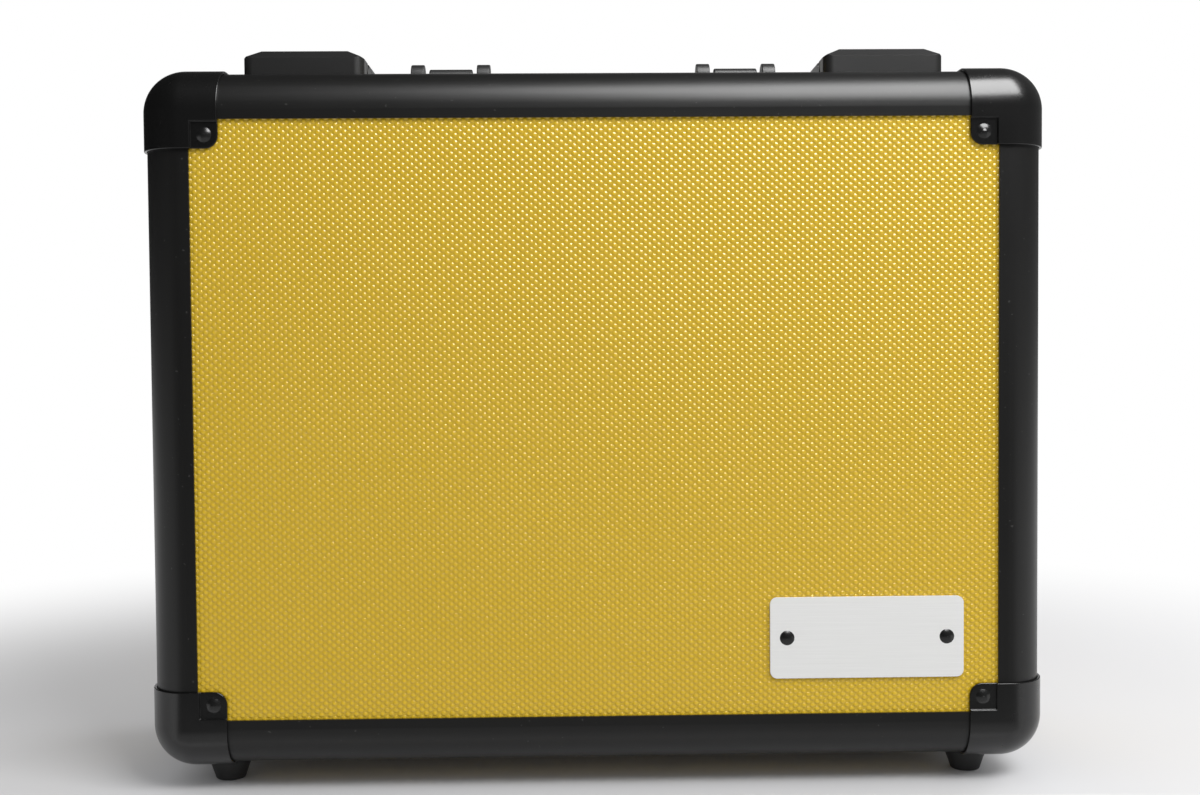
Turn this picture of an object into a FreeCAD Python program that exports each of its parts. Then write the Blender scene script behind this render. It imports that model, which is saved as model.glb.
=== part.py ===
import FreeCAD, Part
import itertools
import math
import os
import Sketcher

# A storage box that stands on its hinge side: a shallow lid toward -Y and a deeper base toward +Y.
# X runs along the width, Z is up, and the origin lies on the floor under the middle of the box.

SIZES = [
    # the case over its rails
    ("case_width", 440.0),
    ("case_height", 340.0),
    ("lid_depth", 55.0),
    ("base_depth", 95.0),
    ("foot_height", 12.5),
    # rounded rails and the panels held in their slots
    ("rail_face", 24.5),
    ("rail_round", 20.0),
    ("lip_thick", 1.2),
    ("panel_thick", 4.5),
    ("slot_play", 0.2),
    ("slot_reach", 5.5),
    ("inner_lip_thick", 1.5),
    ("inner_lip_short", 2.0),
    ("join_gap", 0.3),
    # closed frames round the two mouths
    ("base_lip_width", 14.0),
    ("cap_lip_gap", 2.3),
    ("mouth_web_thick", 4.0),
    ("mouth_web_width", 10.0),
    ("tongue_inset", 4.0),
    ("tongue_thick", 2.0),
    ("tongue_reach", 2.3),
    ("groove_play", 0.6),
    # ball corner caps with a sunk tab on each face
    ("cap_thick", 1.5),
    ("cap_play", 0.1),
    ("tab_proud", 0.3),
    ("tab_wall", 1.0),
    ("tab_width", 13.0),
    ("tab_round", 6.2),
    # rivets
    ("rivet_head_radius", 3.6),
    ("rivet_head_height", 1.15),
    ("rivet_shank_radius", 1.6),
    ("rivet_play", 0.05),
    ("drill_length", 18.0),
    # feet
    ("foot_top_radius", 11.0),
    ("foot_sole_radius", 7.6),
    ("foot_edge", 1.2),
    ("foot_spigot_radius", 5.0),
    # name plate
    ("plate_length", 95.0),
    ("plate_height", 39.8),
    ("plate_thick", 1.0),
    ("plate_round", 3.5),
    ("plate_side_in", 89.2),
    ("plate_centre_up", 62.0),
    ("plate_rivet_in", 8.3),
    # hardware plates, pins and their running fits
    ("hardware_thick", 2.0),
    ("hardware_mouth_gap", 1.0),
    ("pin_radius", 1.75),
    ("pin_play", 0.05),
    # latches, heights from the top of the case and depths from the mouth
    ("latch_side_in", 74.8),
    ("latch_width", 60.0),
    ("latch_height", 14.2),
    ("latch_bevel_rise", 4.2),
    ("latch_bevel_run", 8.5),
    ("latch_rail_gap", 2.5),
    ("latch_pivot_depth", 10.0),
    ("latch_under_gap", 4.2),
    ("latch_block_gap", 0.6),
    ("latch_ear_gap", 0.9),
    ("latch_ear_thick", 8.0),
    ("latch_ear_short", 0.4),
    ("latch_ear_play", 0.5),
    ("latch_lever_reach", 32.0),
    ("latch_lever_wall", 4.0),
    ("latch_lever_roof", 3.4),
    ("latch_rivet_in", 7.5),
    ("latch_rivet_depth", 5.8),
    ("keeper_side_in", 10.0),
    ("keeper_front", 2.0),
    ("keeper_lip_in", 6.0),
    ("keeper_lip_back", 10.5),
    ("keeper_lip_thick", 2.5),
    ("keeper_lip_height", 6.5),
    ("keeper_rivet_depth", 9.0),
    ("claw_side_in", 1.0),
    ("claw_thick", 3.0),
    ("claw_gap", 0.5),
    ("claw_lift", 0.4),
    # handle
    ("latch_bracket_gap", 19.5),
    ("bracket_width", 41.4),
    ("bracket_front", 3.5),
    ("bracket_length", 20.0),
    ("bracket_ear_thick", 6.9),
    ("bracket_ear_radius", 6.8),
    ("bracket_rivet_in", 4.1),
    ("handle_boss_gap", 1.0),
    ("handle_boss_radius", 4.4),
    ("handle_arm_play", 2.45),
    ("handle_arm_short", 0.8),
    ("handle_bar_start", 33.0),
    ("handle_bar_depth", 20.0),
    ("handle_outer_round", 14.0),
    ("handle_inner_round", 6.0),
    ("grip_arm_gap", 5.65),
    ("grip_wall", 2.9),
    ("grip_round", 5.5),
    ("grip_play", 0.1),
    # hinges under the case
    ("hinge_side_in", 91.0),
    ("hinge_length", 60.0),
    ("hinge_end_gap", 0.3),
    ("hinge_gap", 0.4),
    ("hinge_barrel_radius", 3.6),
    ("hinge_leaf_gap", 0.9),
    ("hinge_leaf_end", 13.5),
    ("hinge_rivet_edge", 4.1),
    ("hinge_rivet_in", 8.0),
    # soft lining
    ("lining_thick", 3.0),
    ("lining_gap", 0.5),
    ("lid_foam_thick", 18.0),
    ("base_foam_thick", 8.0),
]

Vector = FreeCAD.Vector
doc = FreeCAD.newDocument("storage_box")
sheet = doc.addObject("Spreadsheet::Sheet", "Dims")
for row, (alias, number) in enumerate(SIZES, 1):
    sheet.set(f"A{row}", alias)
    sheet.set(f"B{row}", str(number))
    sheet.setAlias(f"B{row}", alias)
doc.recompute()


class Size:
    """A length that carries its number and the spreadsheet formula it comes from."""

    def __init__(self, value, formula):
        self.value = value
        self.formula = formula

    @staticmethod
    def of(other):
        return other if isinstance(other, Size) else Size(float(other), f"({float(other)})")

    def __add__(self, other):
        other = Size.of(other)
        return Size(self.value + other.value, f"({self.formula} + {other.formula})")

    def __sub__(self, other):
        other = Size.of(other)
        return Size(self.value - other.value, f"({self.formula} - {other.formula})")

    def __mul__(self, number):
        return Size(self.value * number, f"({self.formula} * {number})")

    def __truediv__(self, number):
        return Size(self.value / number, f"({self.formula} / {number})")

    def __neg__(self):
        return Size(-self.value, f"(-{self.formula})")

    def __radd__(self, other):
        return Size.of(other) + self

    def __rsub__(self, other):
        return Size.of(other) - self

    __rmul__ = __mul__


def larger(first, second):
    return Size(max(first.value, second.value), f"max({first.formula}; {second.formula})")


d = {alias: Size(number, f"Dims.{alias}") for alias, number in SIZES}

TURN = {
    "Z": FreeCAD.Rotation(),
    "X": FreeCAD.Rotation(Vector(1, 1, 1), 120),
    "Y": FreeCAD.Rotation(Vector(1, 1, 1), 240),
}
MIDDLE = Size.of(0.0)
# how far a cut passes the face it opens
PAST = 1.0
# two points nearer than this are one point
SAME = 0.001
# shares of the latch nose's depth that its round corners and its front bevel take
NOSE_ROUND = 0.4
NOSE_BEVEL = 0.44


def bind(obj, **sizes):
    for prop, size in sizes.items():
        obj.setExpression(prop, Size.of(size).formula)


def place(obj, x, y, z, along="Z"):
    obj.Placement = FreeCAD.Placement(Vector(), TURN[along])
    for axis, size in zip("xyz", (x, y, z)):
        obj.setExpression(f"Placement.Base.{axis}", Size.of(size).formula)


def block(name, x, y, z):
    """A box from three (low, high) pairs."""
    obj = doc.addObject("Part::Box", name)
    bind(obj, Length=x[1] - x[0], Width=y[1] - y[0], Height=z[1] - z[0])
    place(obj, x[0], y[0], z[0])
    return obj


def rod(name, along, radius, start, length):
    obj = doc.addObject("Part::Cylinder", name)
    bind(obj, Radius=radius, Height=length)
    place(obj, *start, along)
    return obj


def fuse(name, *parts):
    obj = doc.addObject("Part::MultiFuse", name)
    obj.Shapes = list(parts)
    return obj


def cut(name, base, *tools):
    obj = doc.addObject("Part::Cut", name)
    obj.Base = base
    obj.Tool = tools[0] if len(tools) == 1 else fuse(f"{name}_tools", *tools)
    return obj


def common(name, first, second):
    obj = doc.addObject("Part::Common", name)
    obj.Base = first
    obj.Tool = second
    return obj


def group(name, *parts):
    obj = doc.addObject("Part::Compound", name)
    obj.Links = list(parts)
    return obj


def mirror(name, source, axis):
    """The same piece on the other side of the middle of the case."""
    obj = doc.addObject("Part::Mirroring", name)
    obj.Source = source
    obj.Normal = {"X": Vector(1, 0, 0), "Y": Vector(0, 1, 0), "Z": Vector(0, 0, 1)}[axis]
    if axis == "Z":
        obj.setExpression("Base.z", middle_z.formula)
    return obj


def soften(name, source, radius, pick):
    """Rounds the edges that pick chooses."""
    doc.recompute()
    obj = doc.addObject("Part::Fillet", name)
    obj.Base = source
    numbered = enumerate(source.Shape.Edges, 1)
    obj.Edges = [(number, radius.value, radius.value) for number, edge in numbered if pick(edge)]
    return obj


def arc_between(start, end, radius, turn):
    """A quarter arc or less; turn is 1 for one that runs anticlockwise, -1 for clockwise."""
    chord = end - start
    rise = math.sqrt(max(radius ** 2 - (chord.Length / 2) ** 2, 0.0))
    side = Vector(-chord.y, chord.x, 0).normalize() * turn
    centre = (start + end) / 2 + side * rise
    first, last = (start, end) if turn > 0 else (end, start)
    low = math.atan2(first.y - centre.y, first.x - centre.x)
    high = math.atan2(last.y - centre.y, last.x - centre.x)
    if high < low:
        high += 2 * math.pi
    return Part.ArcOfCircle(Part.Circle(centre, Vector(0, 0, 1), radius), low, high)


def draw(body, loops):
    """A sketch of closed loops; a corner is (x, y), or (x, y, radius, turn) at the end of an arc."""
    sketch = body.newObject("Sketcher::SketchObject", f"{body.Name}_sketch")
    plane = [item for item in body.Origin.OriginFeatures if item.Role == "XY_Plane"][0]
    sketch.AttachmentSupport = [(plane, "")]
    sketch.MapMode = "FlatFace"
    for loop in loops:
        corners = [tuple(Size.of(part) for part in corner[:2]) for corner in loop]
        spots = [Vector(x.value, y.value, 0) for x, y in corners]
        ends = []
        for index, corner in enumerate(loop):
            start, end = spots[index - 1], spots[index]
            if len(corner) == 2:
                edge = sketch.addGeometry(Part.LineSegment(start, end), False)
                ends.append((edge, 1, 2))
                continue
            radius, turn = Size.of(corner[2]), corner[3]
            edge = sketch.addGeometry(arc_between(start, end, radius.value, turn), False)
            ends.append((edge, 1, 2) if turn > 0 else (edge, 2, 1))
            number = sketch.addConstraint(Sketcher.Constraint("Radius", edge, radius.value))
            sketch.setExpression(f"Constraints[{number}]", radius.formula)
        for index, (edge, first, last) in enumerate(ends):
            before = ends[index - 1]
            sketch.addConstraint(Sketcher.Constraint("Coincident", before[0], before[2], edge, first))
            for kind, size in zip(("DistanceX", "DistanceY"), corners[index]):
                held = Sketcher.Constraint(kind, -1, 1, edge, last, size.value)
                number = sketch.addConstraint(held)
                sketch.setExpression(f"Constraints[{number}]", size.formula)
    return sketch


def pad(body, loops, length, back=False):
    feature = body.newObject("PartDesign::Pad", f"{body.Name}_pad")
    feature.Profile = draw(body, loops)
    feature.Reversed = back
    bind(feature, Length=length)
    return feature


def extrusion(name, loops, length, x, y, z, along):
    """A body whose sketch lies across the given axis and is padded along it."""
    body = doc.addObject("PartDesign::Body", name)
    pad(body, loops, length)
    place(body, x, y, z, along)
    return body


def rounded(half_x, half_y, radius):
    """A rectangle round the origin with four rounded corners."""
    inner_x = half_x - radius
    inner_y = half_y - radius
    return [
        (inner_x, -half_y),
        (half_x, -inner_y, radius, 1),
        (half_x, inner_y),
        (inner_x, half_y, radius, 1),
        (-inner_x, half_y),
        (-half_x, inner_y, radius, 1),
        (-half_x, -inner_y),
        (-inner_x, -half_y, radius, 1),
    ]


# planes of the case
half_width = d["case_width"] / 2
front_y = -(d["lid_depth"] + d["base_depth"]) / 2
mouth_y = front_y + d["lid_depth"]
back_y = -front_y
low_z = d["foot_height"]
top_z = low_z + d["case_height"]
middle_z = low_z + d["case_height"] / 2
tab_edge = d["rail_face"] + d["slot_play"]
sunk_edge = tab_edge + d["tab_wall"]
cap_reach = sunk_edge + d["tab_width"]
lid_lip_width = d["lid_depth"] - cap_reach - d["cap_lip_gap"]
nodes = []


def keep(obj):
    obj.Label = obj.Name
    nodes.append(obj)
    return obj


# Rounded rails. The section is one quarter round with a slot for the face panel and one for the
# wall panel; first and second are the distances in from the two outer planes.
panel_in = d["lip_thick"] + d["panel_thick"]
slot_in = panel_in + d["slot_play"]
inner_in = slot_in + d["inner_lip_thick"]
slot_end = d["rail_face"] - d["slot_reach"]
lip_end = d["rail_face"] - d["inner_lip_short"]
corner_clear = d["rail_face"] + d["join_gap"]


def rail_section(spot, turn):
    face, bend, lip = d["rail_face"], d["rail_round"], d["lip_thick"]
    corners = [
        (bend, 0.0),
        (0.0, bend),
        (0.0, face),
        (lip, face),
        (lip, slot_end),
        (slot_in, slot_end),
        (slot_in, lip_end),
        (inner_in, lip_end),
        (inner_in, inner_in),
        (lip_end, inner_in),
        (lip_end, slot_in),
        (slot_end, slot_in),
        (slot_end, lip),
        (face, lip),
        (face, 0.0),
    ]
    loop = [spot(Size.of(first), Size.of(second)) for first, second in corners]
    loop[1] = loop[1] + (bend, turn)
    return [loop]


def lying(first, second):
    return (second, -first)


def standing(first, second):
    return (-first, second)


def deep(first, second):
    return (-second, -first)


rail_run = d["case_width"] - corner_clear * 2
rail_rise = d["case_height"] - corner_clear * 2
top_section = rail_section(lying, -1)
side_section = rail_section(standing, 1)
edge_section = rail_section(deep, 1)

top_rail = extrusion("lid_top_rail", top_section, rail_run, -rail_run / 2, front_y, top_z, "X")
right_start = low_z + corner_clear
right_rail = extrusion("lid_right_rail", side_section, rail_rise, half_width, front_y, right_start, "Z")
keep(top_rail)
keep(mirror("lid_bottom_rail", top_rail, "Z"))
keep(right_rail)
keep(mirror("lid_left_rail", right_rail, "X"))
keep(mirror("base_top_rail", top_rail, "Y"))
keep(mirror("base_bottom_rail", doc.lid_bottom_rail, "Y"))
keep(mirror("base_right_rail", right_rail, "Y"))
keep(mirror("base_left_rail", doc.lid_left_rail, "Y"))


# Four rounded posts along the depth, from the corner caps to the mouth frame.
def edge_posts(half, depth, lip_width, start_y):
    length = depth - corner_clear - lip_width - d["join_gap"]
    post = extrusion(f"{half}_post", edge_section, length, half_width, start_y, top_z, "Y")
    left = mirror(f"{half}_post_left", post, "X")
    low = mirror(f"{half}_post_low", post, "Z")
    low_left = mirror(f"{half}_post_low_left", left, "Z")
    keep(group(f"{half}_edge_posts", post, left, low, low_left))


base_lip = d["base_lip_width"]
edge_posts("lid", d["lid_depth"], lid_lip_width, front_y + corner_clear)
edge_posts("base", d["base_depth"], base_lip, mouth_y + base_lip + d["join_gap"])


# Mouth frames: an outer lip, a web and an inner lip, bent round the whole mouth. The lid carries
# a tongue and the base the groove that takes it.
def ring(outer_in, inner_in):
    loops = []
    for inset in (outer_in, inner_in):
        inset = Size.of(inset)
        tall = d["case_height"] / 2 - inset
        loops.append(rounded(tall, half_width - inset, d["rail_round"] - inset))
    return loops


def mouth_frame(half, lip_width, toward_front):
    body = doc.addObject("PartDesign::Body", f"{half}_mouth_frame")
    pad(body, ring(0.0, d["lip_thick"]), lip_width, toward_front)
    pad(body, ring(0.0, d["mouth_web_width"]), d["mouth_web_thick"], toward_front)
    pad(body, ring(slot_in, inner_in), lip_width - d["inner_lip_short"], toward_front)
    place(body, MIDDLE, mouth_y, middle_z, "Y")
    return body


tongue_end = d["tongue_inset"] + d["tongue_thick"]
lid_mouth = mouth_frame("lid", lid_lip_width, True)
pad(lid_mouth, ring(d["tongue_inset"], tongue_end), d["tongue_reach"])
keep(lid_mouth)
base_mouth = mouth_frame("base", base_lip, False)
groove = base_mouth.newObject("PartDesign::Pocket", "groove")
groove_in = d["tongue_inset"] - d["groove_play"]
groove.Profile = draw(base_mouth, ring(groove_in, tongue_end + d["groove_play"]))
groove.Reversed = True
bind(groove, Length=d["tongue_reach"] + d["groove_play"])
keep(base_mouth)

# Where the fasteners sit. The tab of a corner cap is square, with its rivet in the middle.
tab_in = sunk_edge + d["tab_width"] / 2
tab_out = half_width - tab_in
tab_low = low_z + tab_in
tab_high = top_z - tab_in
lid_tab_y = front_y + tab_in
base_tab_y = back_y - tab_in
hole_radius = d["rivet_shank_radius"] + d["rivet_play"]
SIDES = (-1, 1)
drill_numbers = itertools.count(1)


def drill(along, x, y, z):
    """A hole through everything near the given point of an outer face."""
    start = [Size.of(x), Size.of(y), Size.of(z)]
    index = "XYZ".index(along)
    start[index] = start[index] - d["drill_length"] / 2
    return rod(f"drill_{next(drill_numbers)}", along, hole_radius, start, d["drill_length"])


def both_sides(centre_out, *offsets):
    """Places along X on the left, then on the right."""
    return [side * centre_out + offset for side in SIDES for offset in offsets]


# Latches stand in from the sides of the case, and the handle brackets in from the latches.
latch_out = half_width - d["latch_side_in"]
latch_half = d["latch_width"] / 2
latch_rivet_out = latch_half - d["latch_rivet_in"]
latch_rivet_y = mouth_y - d["latch_rivet_depth"]
latch_rivets = [(x, latch_rivet_y) for x in both_sides(latch_out, -latch_rivet_out, latch_rivet_out)]
keeper_half = latch_half - d["keeper_side_in"]
lip_half = keeper_half - d["keeper_lip_in"]
keeper_rivet_y = mouth_y + d["keeper_rivet_depth"]
keeper_rivets = [(x, keeper_rivet_y) for x in both_sides(latch_out, -lip_half, lip_half)]
bracket_half = d["bracket_width"] / 2
bracket_out = latch_out - latch_half - d["latch_bracket_gap"] - bracket_half
swing_y = mouth_y + d["bracket_front"] + d["bracket_length"] / 2
bracket_rivet_out = d["bracket_length"] / 2 - d["bracket_rivet_in"]
bracket_rivets = [
    (side * bracket_out, swing_y + end * bracket_rivet_out) for side in SIDES for end in SIDES
]
hinge_out = half_width - d["hinge_side_in"]
hinge_half = d["hinge_length"] / 2
hinge_rivet_out = hinge_half - d["hinge_rivet_in"]
hinge_spots = both_sides(hinge_out, -hinge_rivet_out, MIDDLE, hinge_rivet_out)
hinge_rivet_depth = d["hinge_leaf_end"] - d["hinge_rivet_edge"]
lid_hinge_y = mouth_y - hinge_rivet_depth
base_hinge_y = mouth_y + hinge_rivet_depth
plate_x = half_width - d["plate_side_in"]
plate_z = low_z + d["plate_centre_up"]
plate_rivet_out = d["plate_length"] / 2 - d["plate_rivet_in"]
plate_rivets = [plate_x - plate_rivet_out, plate_x + plate_rivet_out]

# Panels: the face of each half and its four walls, all held in the slots.
panel_start = slot_end + d["slot_play"]
wall_start = larger(d["rail_round"], slot_end) + d["slot_play"]
face_x = (panel_start - half_width, half_width - panel_start)
face_z = (low_z + panel_start, top_z - panel_start)
lid_face_y = front_y + d["lip_thick"]
face_holes = [
    drill("Y", side * tab_out, front_y, height) for side in SIDES for height in (tab_low, tab_high)
]
plate_holes = [drill("Y", spot, front_y, plate_z) for spot in plate_rivets]
face = block("lid_face_board", face_x, (lid_face_y, lid_face_y + d["panel_thick"]), face_z)
plain_face = cut("lid_face_holed", face, *face_holes)
keep(cut("lid_face_panel", plain_face, *plate_holes))
keep(mirror("base_back_panel", plain_face, "Y"))

wall_x = (wall_start - half_width, half_width - wall_start)
wall_z = (low_z + wall_start, top_z - wall_start)
wall_side = (half_width - panel_in, half_width - d["lip_thick"])
wall_end = d["mouth_web_thick"] + d["slot_play"]
lid_wall_y = (front_y + panel_start, mouth_y - wall_end)
base_wall_y = (mouth_y + wall_end, back_y - panel_start)


def walls(half, span_y, tab_y, top_spots, low_spots):
    high = (top_z - panel_in, top_z - d["lip_thick"])
    low = (low_z + d["lip_thick"], low_z + panel_in)
    corner_spots = [(side * tab_out, tab_y) for side in SIDES]
    top_holes = [drill("Z", x, y, top_z) for x, y in corner_spots + top_spots]
    low_holes = [drill("Z", x, y, low_z) for x, y in corner_spots + low_spots]
    side_holes = [drill("X", half_width, tab_y, height) for height in (tab_low, tab_high)]
    top_board = block(f"{half}_top_board", wall_x, span_y, high)
    low_board = block(f"{half}_bottom_board", wall_x, span_y, low)
    side_board = block(f"{half}_right_board", wall_side, span_y, wall_z)
    keep(cut(f"{half}_top_wall", top_board, *top_holes))
    keep(cut(f"{half}_bottom_wall", low_board, *low_holes))
    right = keep(cut(f"{half}_right_wall", side_board, *side_holes))
    keep(mirror(f"{half}_left_wall", right, "X"))


# The outer lips of the mouth frames are drilled with the walls behind them.
lid_hinge_spots = [(x, lid_hinge_y) for x in hinge_spots]
base_hinge_spots = [(x, base_hinge_y) for x in hinge_spots]
walls("lid", lid_wall_y, lid_tab_y, latch_rivets, lid_hinge_spots)
walls("base", base_wall_y, base_tab_y, keeper_rivets + bracket_rivets, base_hinge_spots)


def drilled_frame(body, top_spots, low_spots):
    holes = [drill("Z", x, y, top_z) for x, y in top_spots]
    holes += [drill("Z", x, y, low_z) for x, y in low_spots]
    plain_name = body.Name
    nodes.remove(body)
    body.Label = f"{plain_name}_plain"
    framed = cut(f"{plain_name}_drilled", body, *holes)
    framed.Label = plain_name
    nodes.append(framed)


front_bracket_rivets = [spot for index, spot in enumerate(bracket_rivets) if index % 2 == 0]
drilled_frame(lid_mouth, latch_rivets, lid_hinge_spots)
drilled_frame(base_mouth, keeper_rivets + front_bracket_rivets, base_hinge_spots)

# Corner caps: a ball-rounded shell over the ends of three rails, with a tab sunk onto each panel.
cap_skin = d["cap_thick"]
cap_span = cap_reach + cap_skin
cap_room = cap_reach + d["cap_play"] + PAST


def ball_block(name, span, outside, radius):
    """A cube whose outer corner at the right, top and front is rounded on its three edges."""
    square = [(span, 0.0), (span, span), (MIDDLE, span), (MIDDLE, MIDDLE)]
    low = span - outside
    body = extrusion(name, [square], span, half_width - low, front_y - outside, top_z - low, "Z")
    doc.recompute()
    corner = Vector(span.value, 0, span.value)
    padded = body.Tip
    edges = padded.Shape.Edges
    near = [f"Edge{number}" for number, edge in enumerate(edges, 1)
            if min(point.Point.distanceToPoint(corner) for point in edge.Vertexes) < SAME]
    bend = body.newObject("PartDesign::Fillet", f"{name}_bend")
    bend.Base = (padded, near)
    bind(bend, Radius=radius)
    return body


cap_outer = ball_block("cap_outer", cap_span, cap_skin, d["rail_round"] + cap_skin)
cap_inner = ball_block("cap_inner", cap_room, d["cap_play"], d["rail_round"] + d["cap_play"])
cap_shell = cut("cap_shell", cap_outer, cap_inner)

cap_x = (half_width - cap_reach, half_width - tab_edge)
cap_y = (front_y + tab_edge, front_y + cap_reach)
cap_z = (top_z - cap_reach, top_z - tab_edge)
open_x = (half_width - cap_reach - PAST, half_width - sunk_edge)
open_y = (front_y + sunk_edge, front_y + cap_reach + PAST)
open_z = (top_z - cap_reach - PAST, top_z - sunk_edge)
skin_out = cap_skin + PAST
skin_cuts = [
    block("cap_front_sink", open_x, (front_y - skin_out, front_y), open_z),
    block("cap_top_sink", open_x, open_y, (top_z, top_z + skin_out)),
    block("cap_side_sink", (half_width, half_width + skin_out), open_y, open_z),
]
sunk_shell = cut("cap_sunk_shell", cap_shell, *skin_cuts)
tab_boards = [
    block("cap_front_board", cap_x, (front_y - d["tab_proud"], front_y + d["lip_thick"]), cap_z),
    block("cap_top_board", cap_x, cap_y, (top_z - d["lip_thick"], top_z + d["tab_proud"])),
    block("cap_side_board", (half_width - d["lip_thick"], half_width + d["tab_proud"]), cap_y, cap_z),
]
tab_corner = Vector(cap_x[0].value, cap_y[1].value, cap_z[0].value)


def free_corner(axis):
    """Picks the edge along an axis that runs through the free corner of a tab."""
    def pick(edge):
        middle = edge.CenterOfMass
        return all(abs(getattr(middle, other) - getattr(tab_corner, other)) < SAME
                   for other in "xyz" if other != axis)
    return pick


tabs = [
    soften(f"{board.Name}_tab", board, d["tab_round"], free_corner(axis))
    for board, axis in zip(tab_boards, "yzx")
]
cap_body = fuse("cap_body", sunk_shell, *tabs)
cap_holes = [
    drill("Y", tab_out, front_y, tab_high),
    drill("Z", tab_out, lid_tab_y, top_z),
    drill("X", half_width, lid_tab_y, tab_high),
]
top_right = keep(cut("lid_corner_top_right", cap_body, *cap_holes))
top_left = keep(mirror("lid_corner_top_left", top_right, "X"))
low_right = keep(mirror("lid_corner_bottom_right", top_right, "Z"))
low_left = keep(mirror("lid_corner_bottom_left", top_left, "Z"))
keep(mirror("base_corner_top_right", top_right, "Y"))
keep(mirror("base_corner_top_left", top_left, "Y"))
keep(mirror("base_corner_bottom_right", low_right, "Y"))
keep(mirror("base_corner_bottom_left", low_left, "Y"))


# Dome-headed rivets, turned about their own axis with the head toward +Z.
def rivet(name, grip):
    body = doc.addObject("PartDesign::Body", name)
    head, rise, shank = d["rivet_head_radius"], d["rivet_head_height"], d["rivet_shank_radius"]
    dome = (head.value ** 2 + rise.value ** 2) / (2 * rise.value)
    profile = [
        (MIDDLE, -grip),
        (shank, -grip),
        (shank, MIDDLE),
        (head, MIDDLE),
        (MIDDLE, rise, dome, 1),
    ]
    turned = body.newObject("PartDesign::Revolution", f"{name}_turned")
    turned.Profile = draw(body, [profile])
    turned.ReferenceAxis = (turned.Profile[0], ["V_Axis"])
    turned.Angle = 360
    doc.recompute()
    return body


tab_grip = rivet("tab_rivet", d["tab_proud"] + d["lip_thick"] + d["panel_thick"])
hardware_grip = rivet("hardware_rivet", d["hardware_thick"] + d["lip_thick"] + d["panel_thick"])
plate_grip = rivet("plate_rivet", d["plate_thick"] + d["panel_thick"])


def rivets(name, spots):
    """One group of rivets from (pattern, outward direction, x, y, z) of the face under each head."""
    shapes = []
    for pattern, outward, *spot in spots:
        # the pattern's axis is its own Y
        turn = FreeCAD.Rotation(Vector(0, 1, 0), outward)
        base = Vector(*[Size.of(part).value for part in spot])
        shape = pattern.Shape.copy()
        shape.Placement = FreeCAD.Placement(base, turn)
        shapes.append(shape)
    node = doc.addObject("Part::Feature", name)
    node.Shape = Part.makeCompound(shapes)
    keep(node)


UP, DOWN = Vector(0, 0, 1), Vector(0, 0, -1)
tab_face = d["tab_proud"]


def corner_rivets(face_y, face_out, tab_y):
    spots = []
    for side in SIDES:
        across = side * tab_out
        for height in (tab_low, tab_high):
            spots.append((tab_grip, Vector(0, face_out, 0), across, face_y + face_out * tab_face, height))
            outer = side * (half_width + tab_face)
            spots.append((tab_grip, Vector(side, 0, 0), outer, tab_y, height))
        spots.append((tab_grip, UP, across, tab_y, top_z + tab_face))
    return spots


hardware_top = top_z + d["hardware_thick"]
hardware_low = low_z - d["hardware_thick"]
lid_spots = corner_rivets(front_y, -1, lid_tab_y)
lid_spots += [(hardware_grip, UP, x, y, hardware_top) for x, y in latch_rivets]
lid_spots += [(hardware_grip, DOWN, x, y, hardware_low) for x, y in lid_hinge_spots]
rivets("lid_rivets", lid_spots)
base_spots = corner_rivets(back_y, 1, base_tab_y)
base_spots += [(hardware_grip, UP, x, y, hardware_top) for x, y in keeper_rivets + bracket_rivets]
base_spots += [(hardware_grip, DOWN, x, y, hardware_low) for x, y in base_hinge_spots]
rivets("base_rivets", base_spots)

# Bare name plate and its two rivets.
plate_y = lid_face_y - d["plate_thick"]
plate_loop = [rounded(d["plate_height"] / 2, d["plate_length"] / 2, d["plate_round"])]
plate = extrusion("plate_blank", plate_loop, d["plate_thick"], plate_x, plate_y, plate_z, "Y")
keep(cut("name_plate", plate, *[drill("Y", spot, front_y, plate_z) for spot in plate_rivets]))
rivets("name_plate_rivets", [
    (plate_grip, Vector(0, -1, 0), spot, plate_y, plate_z) for spot in plate_rivets
])


# Feet: tapered, with a spigot into the sunk tab and a stud where the other tabs have a rivet.
def foot(name, y):
    body = doc.addObject("PartDesign::Body", name)
    sole, top, edge = d["foot_sole_radius"], d["foot_top_radius"], d["foot_edge"]
    seat = d["foot_height"] - cap_skin
    tab = d["foot_height"] - tab_face
    stud = d["foot_height"] + panel_in
    profile = [
        (MIDDLE, MIDDLE),
        (sole - edge, MIDDLE),
        (sole, edge, edge, 1),
        (top, seat),
        (d["foot_spigot_radius"], seat),
        (d["foot_spigot_radius"], tab),
        (d["rivet_shank_radius"], tab),
        (d["rivet_shank_radius"], stud),
        (MIDDLE, stud),
    ]
    turned = body.newObject("PartDesign::Revolution", f"{name}_turned")
    turned.Profile = draw(body, [profile])
    turned.ReferenceAxis = (turned.Profile[0], ["V_Axis"])
    turned.Angle = 360
    # the sketch lies across X here, so that the turning axis stands upright
    place(body, tab_out, y, MIDDLE, "X")
    return body


for half, tab_y in (("lid", lid_tab_y), ("base", base_tab_y)):
    right_foot = foot(f"{half}_foot", tab_y)
    keep(group(f"{half}_feet", right_foot, mirror(f"{half}_foot_left", right_foot, "X")))

# Latches, modelled on the left and mirrored. The housing stands on the lid.
latch_x = -latch_out
latch_span = (latch_x - latch_half, latch_x + latch_half)
latch_front = front_y + d["rail_face"] + d["latch_rail_gap"]
latch_top = top_z + d["latch_height"]
latch_face = latch_top - d["latch_bevel_rise"]
barrel = (d["latch_height"] - d["latch_under_gap"]) / 2
pivot_y = mouth_y - d["latch_pivot_depth"]
pivot_z = latch_top - barrel
block_back = pivot_y - barrel - d["latch_block_gap"]
bore_radius = d["pin_radius"] + d["pin_play"]
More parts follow.
